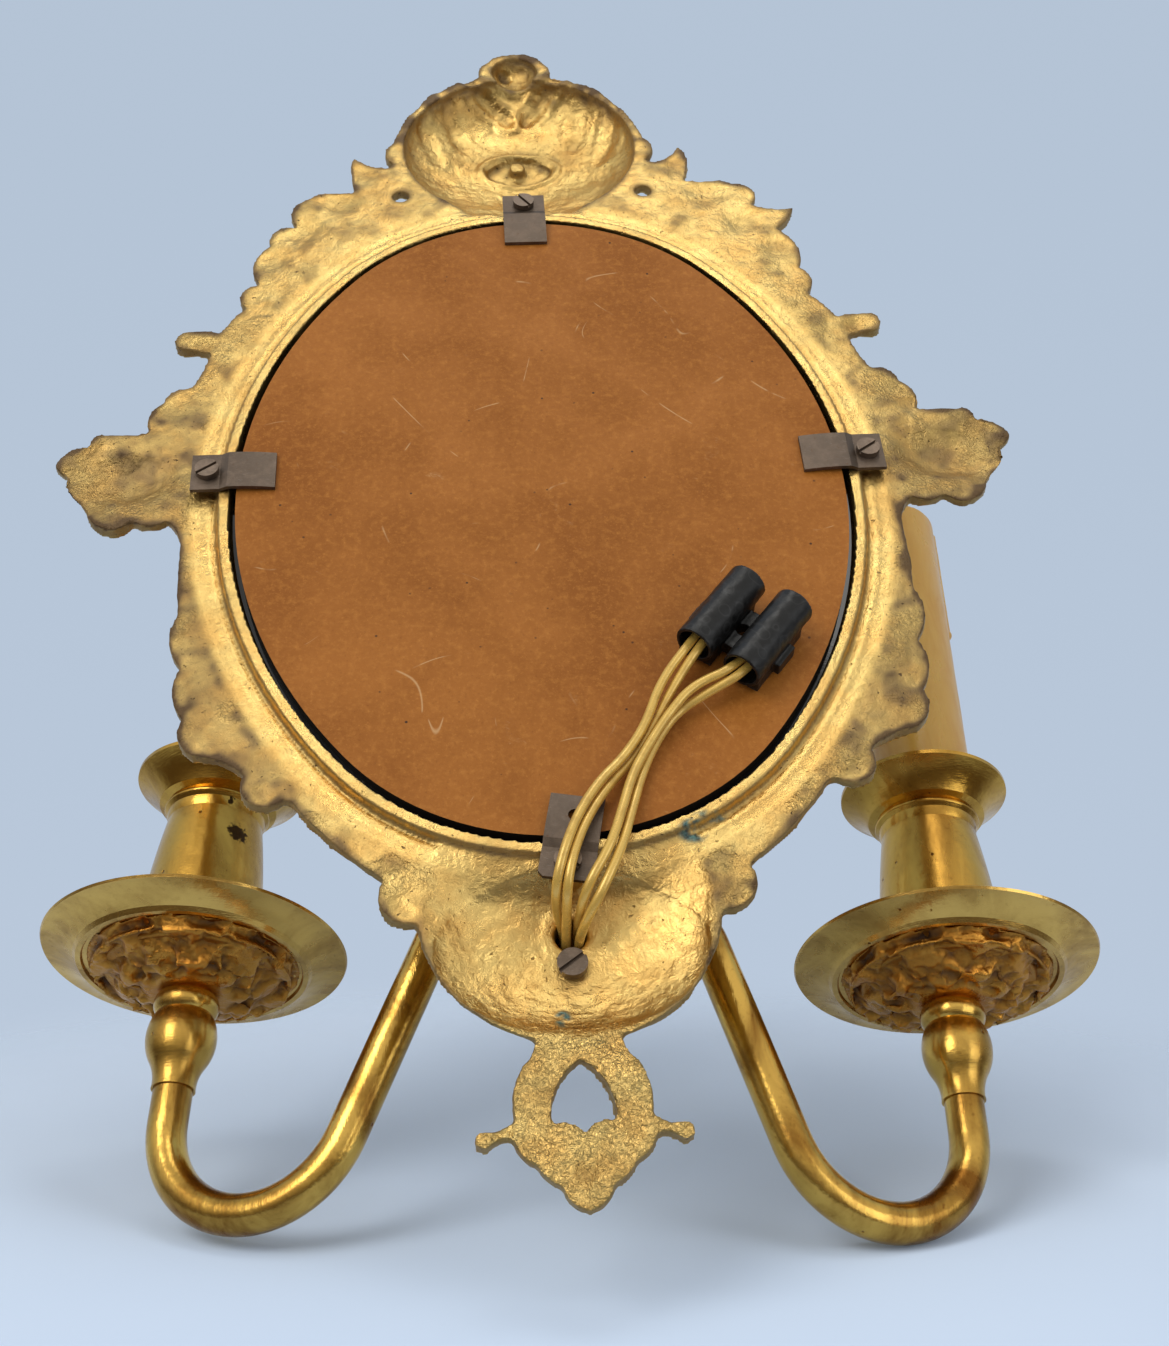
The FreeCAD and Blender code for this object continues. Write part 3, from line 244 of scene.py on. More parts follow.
def tinted(colour, *factors):
    """A colour with its red, green and blue scaled."""
    return [factor * part for factor, part in zip(factors, colour)]


def raised(tree, height, depth_mm, under=None):
    """A bump of a real depth, over another bump if there is one."""
    node = add(tree, "Bump", {"Height": height, "Distance": depth_mm * MM})
    if under is not None:
        tree.links.new(under, node.inputs["Normal"])
    return node.outputs["Normal"]


def wire(tree, shader, **sockets):
    """Links or sets the shader's sockets; an underscore stands for a space."""
    for name, value in sockets.items():
        socket = shader.inputs[name.replace("_", " ")]
        if isinstance(value, bpy.types.NodeSocket):
            tree.links.new(value, socket)
        else:
            socket.default_value = value


def dress(names, finish):
    """Gives CAD nodes a finish."""
    for name in names:
        mesh = NODES[name].data
        mesh.materials.clear()
        mesh.materials.append(finish)


def both(*stems):
    """Node names of the right and left piece of each stem."""
    return [stem + side for stem in stems for side in ("_right", "_left")]


# ------------------------------------------------------------------------ finishes

def cast_brass_finish(name, gold, patina_and_shade_brown, pit=1.0):
    """Gilt sand casting: gold on the heights, brown where the hollow attribute is high; that
    brown is patina together with painted shade.
    """
    finish, tree, shader = new_finish(name)
    where = place(tree)
    # the hollow attribute: patina and painted shade in the casting's hollows, grooves, lips and
    # leaves
    hollow_patina_and_shade = add(tree, "Attribute", attribute_name="hollow").outputs["Fac"]
    clouds = grain_of(tree, where, 22, 5, 0.6, 0.4)
    specks = grain_of(tree, where, 1.1, 3, 0.6)
    pit_mask = ramp(tree, grain_of(tree, where, 1.0, 2, 0.5, 0.4), 0.68, 0.75)
    chance = ramp(tree, grain_of(tree, where, 5.0, 3), 0.46, 0.56)
    pit_mask = maths(tree, "MULTIPLY", pit_mask, chance)
    # the brown mix: patina and painted shade from the hollow attribute, with dirt clouds,
    # specks and pits
    dirt_patina_and_shade = maths(tree, "ADD", hollow_patina_and_shade, ramp(tree, clouds, 0.50, 0.78, 0.0, 0.30))
    dirt_patina_and_shade = maths(tree, "ADD", dirt_patina_and_shade, ramp(tree, specks, 0.60, 0.82, 0.0, 0.35))
    dirt_patina_and_shade = maths(tree, "ADD", dirt_patina_and_shade, maths(tree, "MULTIPLY", pit_mask, 0.55))
    dirt_patina_and_shade = maths(tree, "MINIMUM", maths(tree, "MAXIMUM", dirt_patina_and_shade, 0.0), 1.0)
    warm = blend_colour(tree, ramp(tree, grain_of(tree, where, 9, 4), 0.35, 0.7, 0, 0.6),
                        gold, tinted(gold, 0.92, 0.72, 0.55))
    colour = blend_colour(tree, dirt_patina_and_shade, warm, patina_and_shade_brown)
    crust = add(tree, "Attribute", attribute_name="crust").outputs["Fac"]
    green = blend_colour(tree, ramp(tree, specks, 0.35, 0.65), (0.010, 0.028, 0.026),
                         (0.06, 0.15, 0.13))
    colour = blend_colour(tree, crust, colour, green)
    grit = grain_of(tree, where, 0.55, 4, 0.65)
    normal = raised(tree, grit, 0.10)
    normal = raised(tree, grain_of(tree, where, 2.2, 4, 0.6, 0.5), 0.34, normal)
    normal = raised(tree, maths(tree, "SUBTRACT", 1.0, pit_mask), 0.35 * pit, normal)
    stipple = add(tree, "Attribute", attribute_name="stipple").outputs["Fac"]
    worms = grain_of(tree, where, 1.5, 2, 0.5, 1.6)
    normal = raised(tree, maths(tree, "MULTIPLY", worms, stipple), 1.0, normal)
    gloss = maths(tree, "ADD", ramp(tree, clouds, 0.3, 0.7, 0.22, 0.36),
                  maths(tree, "MULTIPLY", dirt_patina_and_shade, 0.30))
    metal = maths(tree, "MULTIPLY", ramp(tree, dirt_patina_and_shade, 0.25, 0.95, 1.0, 0.35),
                  maths(tree, "SUBTRACT", 1.0, crust))
    wire(tree, shader, Base_Color=colour, Metallic=metal, Roughness=gloss, Normal=normal)
    return finish


def turned_brass_finish(name, gold, amber, rings=False, dull=0.0, age=0.5, blots=()):
    """Spun or drawn brass under old lacquer, with amber drifts, pits and fine lines.

    Each blot is a burnt patch: its place and radius in mm."""
    finish, tree, shader = new_finish(name)
    where = place(tree)
    drift = grain_of(tree, place(tree, (1, 1, 0.45)), 17, 5, 0.6, 0.6)
    fine = grain_of(tree, where, 1.3, 4, 0.6)
    marks = cells_of(tree, where, 5.5)
    spots = maths(tree, "MULTIPLY", ramp(tree, marks, 0.04, 0.10, 1.0, 0.0),
                  ramp(tree, grain_of(tree, where, 6, 2), 0.50, 0.58))
    amount = maths(tree, "ADD", ramp(tree, drift, 0.38, 0.70, 0.0, age),
                   ramp(tree, fine, 0.55, 0.80, 0.0, 0.30))
    amount = maths(tree, "MINIMUM", maths(tree, "ADD", amount, spots), 1.0)
    colour = blend_colour(tree, amount, gold, amber)
    for *spot, radius in blots:
        gap = add(tree, "VectorMath", {0: where}, operation="DISTANCE")
        gap.inputs[1].default_value = [c * MM for c in spot]
        gap = maths(tree, "ADD", gap.outputs["Value"], ramp(tree, fine, 0.3, 0.7, -0.7 * MM,
                                                            0.7 * MM))
        colour = blend_colour(tree, ramp(tree, gap, 0.75 * radius * MM, radius * MM, 0.96, 0),
                              colour, (0.030, 0.011, 0.004))
    lines = grain_of(tree, place(tree, (1, 1, 14) if rings else (9, 9, 1)), 3.0, 3, 0.6)
    normal = raised(tree, lines, 0.035)
    normal = raised(tree, grain_of(tree, where, 4.5, 3, 0.5), 0.16, normal)
    normal = raised(tree, maths(tree, "SUBTRACT", 1.0, spots), 0.2, normal)
    wire(tree, shader, Base_Color=colour, Metallic=1.0, Normal=normal,
         Roughness=maths(tree, "ADD", ramp(tree, drift, 0.3, 0.75, 0.13 + dull, 0.30 + dull),
                         maths(tree, "MULTIPLY", spots, 0.3)))
    return finish


def board_finish():
    """Brown pressed board: fibres, dark and pale specks, pale scratches."""
    finish, tree, shader = new_finish("fibre_board")
    brown = finishes().board_brown
    where = place(tree)
    clouds = grain_of(tree, where, 38, 5, 0.6, 0.3)
    mottle = grain_of(tree, where, 2.2, 5, 0.7)
    fibre = grain_of(tree, place(tree, (1.0, 1, 5.0), (0, 0.5, 0)), 2.6, 4, 0.7, 1.2)
    fibre_two = grain_of(tree, place(tree, (5.0, 1, 1.0), (0, -0.4, 0)), 3.0, 4, 0.7, 1.4)
    dark, pale = tinted(brown, 0.62, 0.55, 0.5), tinted(brown, 1.35, 1.55, 2.0)
    colour = blend_colour(tree, ramp(tree, clouds, 0.3, 0.72, 0, 0.75), brown, dark)
    colour = blend_colour(tree, ramp(tree, mottle, 0.45, 0.75, 0, 0.6), colour, pale)
    dust = grain_of(tree, where, 0.9, 3, 0.7)
    colour = blend_colour(tree, ramp(tree, dust, 0.55, 0.72, 0, 0.55), colour, dark)
    colour = blend_colour(tree, ramp(tree, dust, 0.45, 0.30, 0, 0.55), colour, pale)
    colour = blend_colour(tree, ramp(tree, fibre, 0.62, 0.72, 0, 0.5), colour, pale)
    colour = blend_colour(tree, ramp(tree, fibre_two, 0.64, 0.74, 0, 0.45), colour, dark)
    specks = maths(tree, "MULTIPLY", ramp(tree, cells_of(tree, where, 4.2), 0.05, 0.11, 1, 0),
                   ramp(tree, grain_of(tree, where, 9, 2), 0.52, 0.6))
    colour = blend_colour(tree, specks, colour, (0.05, 0.022, 0.010))
    scuffs = None
    for turn, size, gate in ((0.9, 26, 0.60), (-0.6, 34, 0.57), (0.2, 30, 0.60)):
        line = grain_of(tree, place(tree, (1, 1, 0.45), (0, turn, 0)), size, 1, 0.4, 0.5)
        line = ramp(tree, maths(tree, "ABSOLUTE", maths(tree, "SUBTRACT", line, 0.5)),
                    0.0, 0.0045, 1, 0)
        gaps = ramp(tree, grain_of(tree, place(tree, (1, 1, 1), (0, turn, 0)), 17, 3),
                    gate, gate + 0.06)
        line = maths(tree, "MULTIPLY", line, gaps)
        scuffs = line if scuffs is None else maths(tree, "MAXIMUM", scuffs, line)
    rubbed = maths(tree, "MULTIPLY", ramp(tree, grain_of(tree, where, 16, 5, 0.75), 0.62, 0.74),
                   ramp(tree, fibre, 0.45, 0.6))
    scuffs = maths(tree, "MAXIMUM", scuffs, maths(tree, "MULTIPLY", rubbed, 0.6))
    colour = blend_colour(tree, maths(tree, "MULTIPLY", scuffs, 0.55), colour,
                          (0.62, 0.40, 0.20))
    normal = raised(tree, fibre, 0.05)
    normal = raised(tree, mottle, 0.05, normal)
    # painted shade: the sawn edge is near-black, like the dark gap round the board
    facing = add(tree, "SeparateXYZ", {"Vector": add(tree, "NewGeometry").outputs["Normal"]})
    edge = ramp(tree, maths(tree, "ABSOLUTE", facing.outputs["Y"]), 0.4, 0.7, 1, 0)
    colour = blend_colour(tree, edge, colour, (0.007, 0.006, 0.006))
    wire(tree, shader, Base_Color=colour, Roughness=ramp(tree, clouds, 0.3, 0.7, 0.52, 0.66),
         Normal=normal)
    shader.inputs["Specular IOR Level"].default_value = 0.18
    return finish


def steel_finish(name, grey, shine=0.42):
    """Dull rolled steel with fine scratches along the strip and a few stains."""
    finish, tree, shader = new_finish(name)
    where = place(tree)
    stain = grain_of(tree, where, 4.5, 4, 0.65)
    hair = grain_of(tree, place(tree, (1, 1, 12), (0, 0.19, 0)), 1.6, 3, 0.6)
    colour = blend_colour(tree, ramp(tree, stain, 0.40, 0.72, 0, 0.8), grey,
                          tinted(grey, 1.9, 1.9, 1.9))
    colour = blend_colour(tree, ramp(tree, hair, 0.60, 0.80, 0, 0.5), colour,
                          (0.42, 0.39, 0.36))
    rust = ramp(tree, grain_of(tree, where, 1.2, 3, 0.6), 0.62, 0.76, 0, 0.6)
    colour = blend_colour(tree, rust, colour, (0.10, 0.045, 0.020))
    normal = raised(tree, hair, 0.03)
    normal = raised(tree, stain, 0.05, normal)
    wire(tree, shader, Base_Color=colour, Metallic=0.85, Normal=normal,
         Roughness=ramp(tree, stain, 0.3, 0.75, shine, shine + 0.18))
    return finish


def plastic_finish():
    """Black moulded plastic, dulled by wear, with soft pale dents."""
    finish, tree, shader = new_finish("moulded_black")
    black = finishes().block_black
    where = place(tree)
    dust = grain_of(tree, where, 2.0, 4, 0.6)
    dents = cells_of(tree, where, 3.4, "SMOOTH_F1")
    colour = blend_colour(tree, ramp(tree, dust, 0.5, 0.8, 0, 0.7), black,
                          (0.018, 0.018, 0.018))
    ringed = ramp(tree, maths(tree, "ABSOLUTE", maths(tree, "SUBTRACT", dents, 0.34)),
                  0.0, 0.05, 0.4, 0)
    colour = blend_colour(tree, ringed, colour, (0.035, 0.035, 0.035))
    normal = raised(tree, dents, 0.16)
    normal = raised(tree, grain_of(tree, where, 0.5, 3), 0.03, normal)
    wire(tree, shader, Base_Color=colour, Normal=normal,
         Roughness=ramp(tree, dust, 0.3, 0.7, 0.28, 0.46))
    shader.inputs["Specular IOR Level"].default_value = 0.32
    return finish


def lead_finish():
    """Satin gold insulation with faint handling marks."""
    finish, tree, shader = new_finish("lead_insulation")
    gold = finishes().lead_gold
    where = place(tree)
    rub = grain_of(tree, where, 3.0, 4, 0.6)
    colour = blend_colour(tree, ramp(tree, rub, 0.42, 0.75, 0, 0.6), gold,
                          tinted(gold, 0.62, 0.56, 0.45))
    wire(tree, shader, Base_Color=colour, Metallic=0.35,
         Roughness=ramp(tree, rub, 0.3, 0.7, 0.22, 0.34),
         Normal=raised(tree, rub, 0.03))
    shader.inputs["Coat Weight"].default_value = 0.35
    shader.inputs["Coat Roughness"].default_value = 0.18
    return finish


def candle_finish():
    """Ivory card and wax: soft streaks, a few brown freckles."""
    finish, tree, shader = new_finish("candle_ivory")
    ivory = finishes().candle_ivory
    where = place(tree)
    streak = grain_of(tree, place(tree, (1, 1, 0.25)), 5.0, 4, 0.55, 0.5)
    freckle = ramp(tree, grain_of(tree, where, 1.0, 2, 0.6), 0.70, 0.80, 0, 0.5)
    colour = blend_colour(tree, ramp(tree, streak, 0.35, 0.7, 0, 0.65), ivory,
                          tinted(ivory, 0.86, 0.74, 0.50))
    colour = blend_colour(tree, freckle, colour, (0.36, 0.22, 0.08))
    wire(tree, shader, Base_Color=colour, Roughness=ramp(tree, streak, 0.3, 0.7, 0.26, 0.42),
         Normal=raised(tree, streak, 0.06))
    shader.inputs["Subsurface Weight"].default_value = 0.25
    shader.inputs["Subsurface Radius"].default_value = (0.004, 0.0025, 0.001)
    shader.inputs["Coat Weight"].default_value = 0.10
    return finish


def glass_finish():
    """Silvered glass whose painted back and edge are black."""
    finish, tree, shader = new_finish("silvered_glass")
    where = place(tree)
    facing = add(tree, "SeparateXYZ", {"Vector": add(tree, "NewGeometry").outputs["Normal"]})
    front = ramp(tree, facing.outputs["Y"], -0.95, -0.80, 1, 0)
    haze = grain_of(tree, where, 12, 4, 0.6)
    chips = grain_of(tree, where, 0.9, 3, 0.6)
    colour = blend_colour(tree, front, blend_colour(
        tree, ramp(tree, chips, 0.62, 0.8, 0, 0.6), (0.006, 0.006, 0.007), (0.10, 0.09, 0.08)),
        (0.88, 0.89, 0.89))
    wire(tree, shader, Base_Color=colour, Metallic=front,
         Roughness=ramp(tree, haze, 0.3, 0.8, 0.02, 0.09),
         Normal=raised(tree, chips, 0.01))
    return finish


# ------------------------------------------------------------------- mesh from the CAD

def new_object(name, data):
    """An object in the scene's collection."""
    piece = bpy.data.objects.new(name, data)
    bpy.context.scene.collection.objects.link(piece)
    return piece


def fine_copy(node, name, grain_size, smooth=2):
    """A node's solid as one fine, even mesh whose corners are softened."""
    piece = new_object(name, NODES[node].data.copy())
    piece.data.materials.clear()
    weld = piece.modifiers.new("weld", "WELD")
    weld.merge_threshold = 1e-6
    cut = piece.modifiers.new("remesh", "REMESH")
    cut.mode = "VOXEL"
    cut.voxel_size = grain_size
    if smooth:
        soft = piece.modifiers.new("smooth", "SMOOTH")
        soft.iterations = smooth
        soft.factor = 0.5
    graph = bpy.context.evaluated_depsgraph_get()
    mesh = bpy.data.meshes.new_from_object(piece.evaluated_get(graph))
    piece.modifiers.clear()
    piece.data = mesh
    if len(mesh.vertices) < 100:
        raise RuntimeError("%s came out empty" % name)
    mesh.shade_smooth()
    return piece


def read_points(mesh):
    """Places and normals in millimetres, as arrays."""
    spots = np.empty(len(mesh.vertices) * 3)
    normals = np.empty(len(mesh.vertices) * 3)
    mesh.vertices.foreach_get("co", spots)
    mesh.vertex_normals.foreach_get("vector", normals)
    return spots.reshape(-1, 3) / MM, normals.reshape(-1, 3)


def write_points(mesh, spots, box):
    """Puts the points back, held inside a box."""
    low, high = (np.array(corner) for corner in box)
    mesh.vertices.foreach_set("co", np.clip(spots * MM, low, high).ravel())
    mesh.update()


def swells(spots, size_mm, octaves=3, seed=0.0):
    """Smooth noise at each point, about -1..1, with features size_mm wide."""
    shift = Vector((seed, 0.37 * seed, -0.61 * seed))
    values = [noise.fractal(Vector(spot) / size_mm + shift, 1.0, 2.0, octaves)
              for spot in spots]
    return np.array(values)


def step(value, low, high):
    """Smooth step from 0 at low to 1 at high."""
    t = np.clip((value - low) / (high - low), 0.0, 1.0)
    return t * t * (3 - 2 * t)


def beyond_board(x, z):
    """Distance outside the board's edge."""
    x, z = np.abs(x), np.abs(z)
    end = np.hypot(x, z - END_CENTRE) - END_RADIUS
    side = np.hypot(x + SIDE_CENTRE, z) - SIDE_RADIUS
    bearing = (z - END_CENTRE) * SIDE_CENTRE > x * END_CENTRE
    return np.where(bearing, end, side)


def curvature(mesh, spots, normals):
    """Positive in hollows and negative on ridges, from each point's neighbours."""
    everywhere = np.ones(len(spots))
    near = np.stack([eased(mesh, spots[:, axis], everywhere, 1) for axis in range(3)], 1)
    bend = np.einsum("ij,ij->i", near - spots, normals)
    return eased(mesh, bend, 0.7 * everywhere, 5)


def eased(mesh, values, amount, rounds):
    """Levels one number per point with its neighbours', where amount says so."""
    edges = np.empty(len(mesh.edges) * 2, dtype=np.int64)
    mesh.edges.foreach_get("vertices", edges)
    a, b = edges.reshape(-1, 2).T
    values = values.copy()
    weight = np.bincount(a, minlength=len(values)) + np.bincount(b, minlength=len(values))
    for _ in range(rounds):
        total = (np.bincount(a, values[b], len(values))
                 + np.bincount(b, values[a], len(values)))
        values += amount * (total / weight - values)
    return values


def keep_value(mesh, name, values):
    """Stores one number per point for the finish to read."""
    layer = mesh.attributes.new(name, "FLOAT", "POINT")
    layer.data.foreach_set("value", values.astype(np.float32))


def coarser(grain_size):
    """A mesh spacing, as given."""
    return grain_size * 1


def roughen(piece, node, depth, inset, size_mm, seed):
    """Slow dents over a whole piece, with its surface drawn in by the inset, in mm."""
    spots, normals = read_points(piece.data)
    spots += normals * (depth * swells(spots, size_mm, 2, seed) - inset)[:, None]
    write_points(piece.data, spots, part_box(node))


def finish_piece(piece, body, slot, finish, *nodes):
    """Rides, replaces and paints a piece."""
    piece.data.materials.append(finish)
    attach(piece, body)
    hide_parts(*nodes)


# --------------------------------------------------------------------- frame casting

# heights and places on the casting in mm, and the count of veins on half its front
EYE_HEIGHT = 144.1
BOSS_HEIGHT = -117.0
BOSS_RADIUS = 31.0
LEAF_BACK = -1.8
CHANNEL_LIP = 10.6
VEINS = 17
# what must keep its shape, as x, z and radius: holes, screw seats and eyelets
SEATS = ((0, -120.6, 5.5), (0, -127.4, 5.0), (34.8, 118.0, 3.6), (-34.8, 118.0, 3.6),
         (0, 108.9, 4.4), (0, -108.9, 4.4), (81.7, 7.2, 4.4), (-81.7, 7.2, 4.4))
# grooves drawn with a modelling tool in the back: start, end, half width, depth in mm
GROOVES = [
    ((14.5, 174.0), (2.8, 165.0), 2.2, 1.0), ((-12.5, 174.0), (-2.8, 165.0), 2.2, 1.0),
    ((22.0, 168.0), (17.0, 153.0), 2.4, 0.5), ((-21.0, 167.0), (-17.0, 153.0), 2.4, 0.5),
    ((29.5, 160.0), (25.0, 145.0), 2.2, 0.5), ((-29.5, 159.0), (-25.0, 145.0), 2.2, 0.5),
]
# hollows pressed in the back of lobes, knobs and bud: x, z, radius, depth in mm
HOLLOWS = [
    (3.0, 181.4, 2.2, 1.6), (99.5, 26.5, 4.0, 0.6), (-97.5, 27.0, 4.0, 0.6),
    (110.5, 17.0, 5.5, 0.9), (-112.5, 17.0, 5.5, 0.9), (115.5, 10.5, 4.0, 0.8),
    (-116.0, 10.0, 4.0, 0.8), (52.0, 116.0, 6.0, 0.9), (-53.0, 115.0, 6.0, 0.9),
    (0.0, -174.5, 3.0, 0.5),
]
HOLLOWS += [(side * x, *rest) for side in (1, -1) for x, *rest in (
    (86.8, 57.0, 3.4, 0.9), (93.0, 33.0, 5.0, 0.7), (110.0, 2.0, 4.5, 0.7),
    (62.5, 102.5, 6.0, 0.9), (70.0, 91.0, 5.0, 0.7), (46.5, 128.0, 5.0, 0.7),
    (15.5, -166.0, 2.2, 0.4), (35.0, -117.0, 3.0, 0.5), (64.0, -87.0, 3.0, 0.5))]


def within(x, z, centre, half_sizes, inner, outer):
    """1 inside an ellipse and 0 outside it, between two multiples of its half sizes."""
    gap = np.hypot((x - centre[0]) / half_sizes[0], (z - centre[1]) / half_sizes[1])
    return 1 - step(gap, inner, outer)


def soften_lips(mesh):
    """Levels the crisp lips that a sand mould doesn't leave: channel, ears and boss.

    Returns each point's distance outside the board."""
    spots, normals = read_points(mesh)
    x, y, z = spots.T
    out = beyond_board(x, z)
    lips = 1 - step(np.abs(out - CHANNEL_LIP), 0.8, 2.6)
    lips = np.maximum(lips, within(np.abs(x), z, (101.0, 9.4), (15.5, 12.0), 1.0, 1.25))
    lips = np.maximum(lips, 1 - step(np.hypot(x, z - BOSS_HEIGHT), 27.0, 30.0))
    lips *= step(np.hypot(x, z + 124.0), 9.0, 12.0) * step(normals[:, 1], 0.0, 0.3)
    lips *= step(out, 5.5, 7.5)
    # the boss's dish runs on to the boss's rim on both sides
    reach = np.hypot(x, z - BOSS_HEIGHT) / 28.5
    bowl = LEAF_BACK - 6.0 * np.sqrt(np.clip(1 - reach ** 2, 0, 1))
    inside = (normals[:, 1] > 0.3) & (out > 10.5) & (z < -100.0)
    level = np.where(inside, np.minimum(y, bowl), y)
    spots[:, 1] = eased(mesh, level, lips, 110)
    write_points(mesh, spots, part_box("frame_casting"))
    return out


def tool_marks(x, z):
    """How far the grooves and pressed hollows move the back, in mm."""
    push = np.zeros(len(x))
    for (x0, z0), (x1, z1), half, depth in GROOVES:
        way = np.array([x1 - x0, z1 - z0])
        along = np.clip(((x - x0) * way[0] + (z - z0) * way[1]) / (way @ way), 0, 1)
        gap = np.hypot(x - x0 - along * way[0], z - z0 - along * way[1])
        push -= depth * (1 - step(gap, 0.25 * half, half * 1.3))
        push += 0.35 * depth * (1 - step(np.abs(gap - 1.7 * half), 0, 0.8 * half))
    for x0, z0, radius, depth in HOLLOWS:
        gap = np.hypot(x - x0, z - z0)
        push -= depth * (1 - step(gap, 0.2 * radius, radius * 1.25))
    return push


def shape_casting(mesh):
    """Presses leaf, shell and sand relief into the back and front of the casting."""
    out = soften_lips(mesh)
    spots, normals = read_points(mesh)
    x, y, z = spots.T
    back = step(normals[:, 1], 0.15, 0.6)
    front = step(-normals[:, 1], 0.15, 0.6)
    wall = step(1 - np.abs(normals[:, 1]), 0.35, 0.75) * step(out, 9.0, 12.5)
    ring = step(y, -1.1, -0.4)
    leaf = step(out, CHANNEL_LIP, 12.6) * (1 - ring)
    trough = step(out, 4.0, 5.0) * (1 - step(out, 9.6, 11.0))

    # the eye's lip stands up round its almond, inside the shell's uneven hollow
    push = back * tool_marks(x, z)
    almond = np.hypot(x / 10.6, (z - EYE_HEIGHT) / 6.6)
    push += back * 0.8 * (1 - step(np.abs(almond - 1.10), 0.02, 0.20))
    shell = back * within(x, z, (0.0, 142.0), (34.0, 32.0), 0.75, 0.95)
    push += shell * step(almond, 1.1, 1.5) * 1.1 * swells(spots, 15.0, 1, 2.0)

    slow = swells(spots, 9.0, 2, 3.0)
    sand = swells(spots, 2.3, 3, 11.0)
    coarse = leaf * (0.6 + 0.4 * step(z, 100, 150)) + 0.35 * (1 - leaf)
    calm = 1 - 0.75 * trough
    lump, pebble = relief().lump / MM, relief().pebble / MM
    push += back * coarse * calm * (lump * slow + 1.4 * pebble * sand)
    push += (1 - back) * (1 - front) * 0.8 * pebble * sand

    # front: raised veins that run outward over the leaves, and a soft ruffle
    bearing = np.arctan2(z, x)
    vein = np.abs(np.sin(VEINS * bearing + 0.06 * out)) ** 0.6
    raise_front = front * step(out, 12.0, 16.0) * (0.9 * vein - 0.5 + lump * slow)
    push += raise_front + front * 0.5 * pebble * sand

    push *= 1 - front * (1 - step(np.hypot(x, z + 124.5), 13.0, 15.0))
    keep = np.ones(len(x))
    for seat_x, seat_z, radius in SEATS:
        keep = np.minimum(keep, step(np.hypot(x - seat_x, z - seat_z), radius, radius + 1.5))
    push *= np.maximum(keep, front) * step(out, 1.0, 2.4)
    write_points(mesh, spots + normals * push[:, None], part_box("frame_casting"))

    age_casting(mesh, (x, y, z), out, (back, front, wall, leaf, shell), (slow, sand))


def age_casting(mesh, places, out, parts, noises):
    """Stores where the casting is brown (patina with painted shade in hollows, grooves, on
    lips, walls and leaves), crusted or stippled, for its finish.

    The places and the parts are those from before the relief was pressed in."""
    x, y, z = places
    back, front, wall, leaf, shell = parts
    slow, sand = noises
    spots, normals = read_points(mesh)
    bend = curvature(mesh, spots, normals)
    # patina and painted shade in the concave spots, from the curvature
    hollow = np.clip(9.0 * bend, 0, 0.55)
    groove_line = 1 - step(np.abs(out - 4.35), 0.15, 0.9)
    lip_line = 1 - step(np.abs(out - 11.0), 0.3, 1.2)
    # dark lines along the groove and along the channel's lip: patina and painted shade
    hollow += back * (0.60 * groove_line * (y > -2.4) + 0.18 * lip_line)
    # painted shadow on the channel's outer wall
    hollow += 0.62 * wall * step(-y, 1.6, 2.4)
    boss = 1 - step(np.hypot(x, z - BOSS_HEIGHT), 27.0, BOSS_RADIUS)
    leaf = leaf * (1 - 0.9 * boss)
    fringe = leaf * (1 - step(z, 10.0, 60.0)) * step(z, -95.0, -80.0)
    tail = 1 - step(z, -146.0, -141.0)
    leaf_patina_and_shade = leaf * (1 - 0.75 * np.maximum(shell, tail))
    # leaves browner in slow patches, on the side leaves below mid-height and on their ridges:
    # patina and painted shade
    hollow += (leaf_patina_and_shade * (0.12 + 0.28 * step(slow, 0.0, 0.5)) + 0.30 * fringe) * back
    hollow += leaf_patina_and_shade * back * np.clip(-16.0 * bend, 0, 0.6)
    valley = back * (1 - step(np.abs(z - 150.0), 2.0, 8.0)) * step(26.0 - np.abs(x), 0, 10)
    hollow += 0.18 * valley + 0.12 * front
    keep_value(mesh, "hollow", np.clip(hollow, 0, 0.97))

    # verdigris where the channel meets the boss, and a spot of it low in the dish
    crust = step(sand, -0.35, 0.0) * np.maximum(
        within(x, z, (-27.0, -101.2), (3.2, 2.6), 0.7, 1.2),
        0.8 * within(x, z, (-31.0, -97.8), (4.0, 1.0), 0.6, 1.2))
    crust += step(sand, -0.5, -0.1) * within(x, z, (2.7, -141.0), (1.7, 2.6), 0.7, 1.2)
    keep_value(mesh, "crust", np.clip(back * crust, 0, 1))
    rough = leaf * (1 - step(z, 60.0, 100.0)) * step(swells(spots, 12.0, 2, 9.0), -0.1, 0.2)
    keep_value(mesh, "stipple", back * np.maximum(tail, 0.6 * rough))


# --------------------------------------------------------------------------- rosettes

ROSETTE_LEAVES = 9


